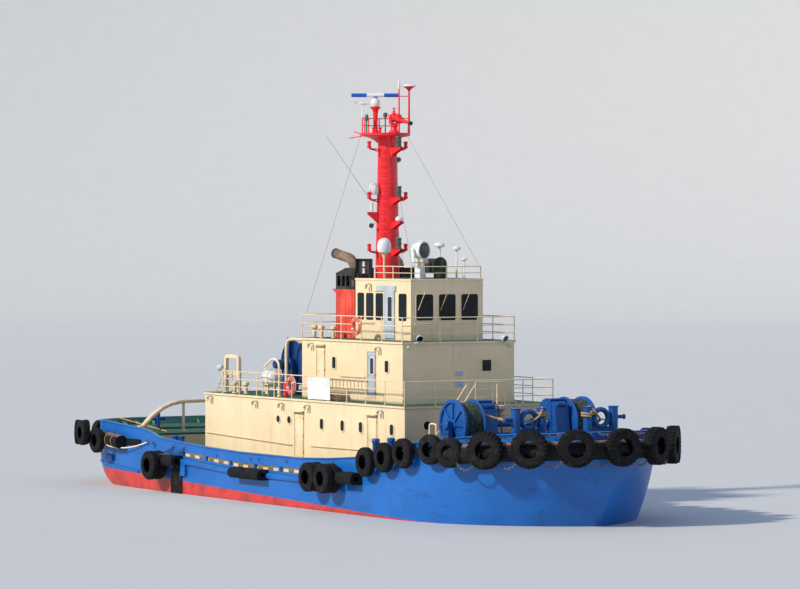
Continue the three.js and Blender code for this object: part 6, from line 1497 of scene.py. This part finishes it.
# Columns: body, half breadth to the leaf's face, aft x, fore x, foot and head of the glass.
DOOR_GLASS = [("cabin_door", TIER_2, 4.24, 4.5, 5.34, 5.97), ("wheelhouse_door", sliding_face, 4.17, 4.5,
    7.42, 8.38)]
for name, half, *box in DOOR_GLASS:
    inner, outer = rounded(box, 0, 0.05), rounded(box, 0.03, 0.075)
    gasket = ring_plate(outer, inner, 0.0005, 0.012, on_side(half))
    for side in SIDES:
        fit_pair(name + "_glass", [pane(inner, 0.008, on_side(half))], glass_with_painted_inner_shade, body=name, sides=[side])
        fit_pair(name + "_gasket", [gasket], white_paint, body=name, sides=[side])
blank_plates = slabs(((6.746, 0.015, 5.375), (0.006, 0.36, 0.19)), ((6.746, 0.015, 4.955),
    (0.006, 0.36, 0.21)))
fit("blank_wall_plates", blank_plates, painted("pale_plate", "white_paint", (176, 188, 214), rust=0.15),
    bevel=0.001)
board = slabs(((1.71, -3.475, 4.685), (1.78, 0.012, 0.87)), ((1.71, -3.462, 5.11), (1.78, 0.02, 0.03)),
    ((1.71, -3.462, 4.26), (1.78, 0.02, 0.03)))
board_white = painted("board_white", "white_paint", (238, 240, 240), rust=0.06, roughness=0.5, wave=0.004)
fit("blank_board", board, board_white, bevel=0.002)

# Loose gear on the decks: lifebuoys, an extinguisher, a bench, a stowed ladder, a ladder aft and mushroom
# vents. The lifebuoys are orange plastic with grab lines; the bench is of oiled boards on steel legs. The
# ladder is grey steel, stowed along the rail.
buoy_orange = mottled("lifebuoy_orange", "mast_red", (6, 5, 0.35, 0.7), (238, 104, 66), (206, 92, 62), 0.5,
    (40, 4, 0.003, 0.4))
BUOYS, BUOY_RADIUS, BAND_START = [(-0.5, -3.505, 4.75), (3.29, -2.675, 7.2)], 0.285, 0.4
oval = disc(0.078, 20, 0.058 / 0.078) + (BUOY_RADIUS, 0)
fit("lifebuoys", both([lathe(oval, BUOYS, ACROSS, 48, closed=True)]), buoy_orange)
bands, round_buoy = [], turns(96)
for buoy in BUOYS:
    for angle in turns(4) + BAND_START:
        radial, tangent = axes(angle, 0, 2)
        loop = [buoy + radial * (BUOY_RADIUS + 0.084 * math.cos(b)) + (0, 0.064 * math.sin(b), 0)
            for b in turns(20)]
        bands.append(sweep(loop, SQUARE * (0.003, 0.018), up=tangent, closed=True))
    reach = 0.375 + 0.022 * np.abs(np.sin(2 * (round_buoy - BAND_START)))
    line = buoy + np.stack([reach * np.cos(round_buoy), 0 * round_buoy, reach * np.sin(round_buoy)], axis=-1)
    bands.append(pipe(line, 0.006, 6, up=ACROSS, closed=True))
fit("lifebuoy_bands", both(bands), white_paint)
BOTTLE = [(0.1, 0), (0.115, 0.02), (0.115, 0.46), (0.1, 0.52), (0.05, 0.56), (0.03, 0.57), (0.03, 0.62)]
HOSE = [(-1.42, -3.22, 4.86), (-1.5, -3.22, 4.87), (-1.545, -3.22, 4.78), (-1.54, -3.22, 4.45)]
fit("extinguishers", both([lathe(BOTTLE, (-1.42, -3.22, 4.26)), pipe(HOSE, 0.011, up=ACROSS)]), mast_red)
wood = mottled("oiled_boards", "house_cream", (7, 7, 0.35, 0.7, (0.15, 4, 4)), (190, 150, 96), (140, 100, 60),
    0.6, (9, 6, 0.003, 0.6), (0.15, 5, 5))
slats = slabs(*[((2.22, y, 4.52), (1.0, 0.08, 0.03)) for y in (-2.92, -3.01, -3.1, -3.19)],
    ((2.22, -3.22, 4.4), (0.96, 0.02, 0.08)))
fit("bench_boards", slats, wood, bevel=0.004)
legs = slabs(*[((x, y, 4.363), (0.04, 0.04, 0.284)) for x in (1.8, 2.64) for y in (-2.93, -3.18)])
fit("bench_legs", legs, fitting_grey)
ladder = [sweep([(2.46, -3.37, z), (5.41, -3.37, z)], SQUARE * (0.012, 0.03)) for z in (5.08, 4.74)]
ladder += [pipe([(x, -3.37, 4.74), (x, -3.37, 5.08)], 0.014) for x in np.arange(2.62, 5.4, 0.29)]
fit("stowed_ladder", ladder, fitting_grey)
after_ladder = [pipe([(-7.62, y, ON_DECK), (-6.92, y, 5.16), (-6.8, y, 5.2)], 0.02, 10) for y in (-3.12,
    -2.9)]
for f in (0.2, 0.4, 0.6, 0.8):
    x, z = -7.62 + 0.7 * f, 4.22 + 0.94 * f
    after_ladder.append(pipe([(x, -3.12, z), (x, -2.9, z)], 0.013))
fit("after_ladder", after_ladder, house_paint)
MUSHROOM_VENT = [(0.12, 0), (0.12, 0.015), (0.085, 0.02), (0.085, 0.34), (0.14, 0.36), (0.14, 0.46),
    (0.1, 0.5), (0, 0.51)]
vents = [(x, y, BOAT_DECK + 0.0004) for x, y in ((-6.13, -3.05), (-5.42, -2.9), (-4.85, -2.2))]
vents += [(x, y, BRIDGE_DECK + 0.0004) for x, y in ((-0.98, -2.15), (-0.58, -2.05), (0.4, -2.05))]
fit("mushroom_vents", both([lathe(MUSHROOM_VENT, vents, sides=22)]), house_paint, bevel=0.004)
BOW_HOOP = [(10.85, 2.2), (10.85, 3.0), (10.85, 3.55), (10.93, 3.66), (11.25, 3.66), (11.33, 3.55),
    (11.33, 3.0), (11.33, 2.25)]
bow_hoop = smooth(np.insert(BOW_HOOP, 1, -3.85, axis=1), 40)
fit("bow_pipe_hoops", both([pipe(bow_hoop, 0.035, 12, up=ACROSS)]), house_paint)

# Fittings on the hull's side: ledges and brackets aft, mooring holes as discs of painted shade, chain eyes,
# a rubber strip and a flap.
# The ledges, brackets and eyes are welded steel in hull blue, the rings dark steel; the strip and flap are
# rubber.
# A cream mooring rope hangs in a bight from the stern roll to a mooring hole.
def hull_side(x, z):
    """Half the breadth of the hull at a height: the same section formula as the shell."""
    level = np.clip((z - eased(x, 1)) / (deck_height(x) - eased(x, 1)), 0, 1)
    return half_breadth(x) * (1 - (1 - level) ** eased(x, 2)) ** (1 / eased(x, 2))


def along_side(x0, x1, z0, z1, out, count=24):
    """A line along the starboard side between two heights, a little outside the plating."""
    x, z = np.linspace(x0, x1, count), np.linspace(z0, z1, count)
    return np.stack([x, -hull_side(x, z) - out, z], axis=-1)


bracket_y = -float(hull_side(np.array(-14.1), np.array(1.2))) - 0.03
EYES = [(-9.95, -4.852, 1.97), (-10.53, -4.852, 2.02)]
side_steel = [pipe(along_side(-15.5, -11.4, 1.0, 0.72, -0.03), 0.08, 12),
    pipe(along_side(-12.0, -10.9, 1.54, 1.47, 0.0), 0.035),
    *slabs(((-14.1, bracket_y, 1.18), (0.62, 0.14, 0.26)), ((-7.19, -4.905, 1.11), (0.43, 0.13, 0.7)),
    *[((x, -4.86, z), (0.16, 0.03, 0.1)) for x, z in ((-14.35, 2.33), (-13.63, 2.27), (-12.9, 2.22))]),
    lathe(disc(0.032, 20) + (0.135, 0), EYES, ACROSS, 28, closed=True)]
fit("side_ledges", both(side_steel), hull_paint, bevel=0.01)
# Columns: x, height.
RINGS = [(-8.12, 1.95), (-7.2, 1.92), (-4.3, 1.75), (-1.38, 1.76), (-0.71, 1.79), (1.6, 1.8), (3.9, 1.86),
    (5.3, 1.92), (-14.35, 2.33), (-13.63, 2.27)]
# The mooring holes are not cut: a dark disc set in each eye is painted shade of the hole.
hole_shade_and_rings = [rod(0.125, 0.008, np.array(EYES) + (0, 0.002, 0), OUTWARD, start=-0.002),
    lathe(disc(0.012, 10) + (0.045, 0), np.insert(RINGS, 1, -4.872, axis=1), (1, 0, 0), 14, closed=True)]
fit("mooring_holes_and_rings", both(hole_shade_and_rings), dark_finish_and_painted_shade)
STRIP = [(-0.04, -0.145), (0.05, -0.13), (0.075, 0), (0.05, 0.13), (-0.04, 0.145)]
strips = [sweep(along_side(-12.85, -11.15, 1.97, 1.965, 0.0), STRIP),
    *slabs(((-7.88, -4.875, 0.43), (1.0, 0.03, 1.26)))]
fit("side_rubber_strips", both(strips), rubber, bevel=0.006)
t = np.linspace(0, 1, 14)[:, None]
side_chains = []
for start, end in (((-9.3, -5.12, 1.66), (-8.12, -4.89, 1.93)), ((-8.62, -5.3, 1.62), (-7.2, -4.89, 1.9))):
    side_chains.append(chain((1 - t) * start + t * end - np.sin(math.pi * t) * (0, 0, 0.1), 0.014, 0.075))
fit("quarter_tyre_chains", both(side_chains), galvanised)
cream_rope = painted("cream_rope", "white_paint", (240, 226, 190), rust=0.25, roughness=0.9)
ROPE_DIAMETER = 0.06
# The bight hangs free from the roll's face to the fore mooring hole. Columns: x, distance outside, z.
BIGHT = np.array([(-13.56, 0.5, 1.92), (-13.5, 0.5, 1.83), (-13.38, 0.47, 1.77), (-13.05, 0.4, 1.71),
    (-12.7, 0.33, 1.69), (-12.37, 0.28, 1.7), (-11.99, 0.22, 1.73), (-11.61, 0.17, 1.78), (-11.2, 0.13, 1.85),
    (-10.85, 0.1, 1.93), (-10.62, 0.07, 1.99), (-10.53, 0.02, 2.02)])
bight = smooth(BIGHT * (1, -1, 1) - (0, HALF_BEAM, 0), 34)
mooring_rope = fit("mooring_rope", [rope(bight, ROPE_DIAMETER / 2)], cream_rope, sharp=70)
lashings = []
for length in (6.35, 6.9, 7.45, 8.0):
    x, y, heading, at = [float(v) for v in beside(length, 0.286, "stern")]
    centre = np.array([x, y, rail_height(at) - 0.69])
    outward, along = axes(heading)
    loop = [centre + outward * 0.305 * math.cos(a) + (0, 0, 0.305 * math.sin(a)) for a in np.linspace(-1.2,
        2.2, 24)]
    lashings.append(pipe(loop, 0.014, up=along))
fit("roll_lashings", both(lashings), tan_rope, slot="white_paint")
# A taut yellow line runs from the quarter rail to the deck near the break.
yellow_line = [(-16.98, -3.03, 2.765), (-16.83, -3.0, 2.752), (-13.8, -3.4, 2.6), (-10.8, -3.8, 2.445)]
fit("quarter_line", [rope(yellow_line, 0.02)], yellow_rope)
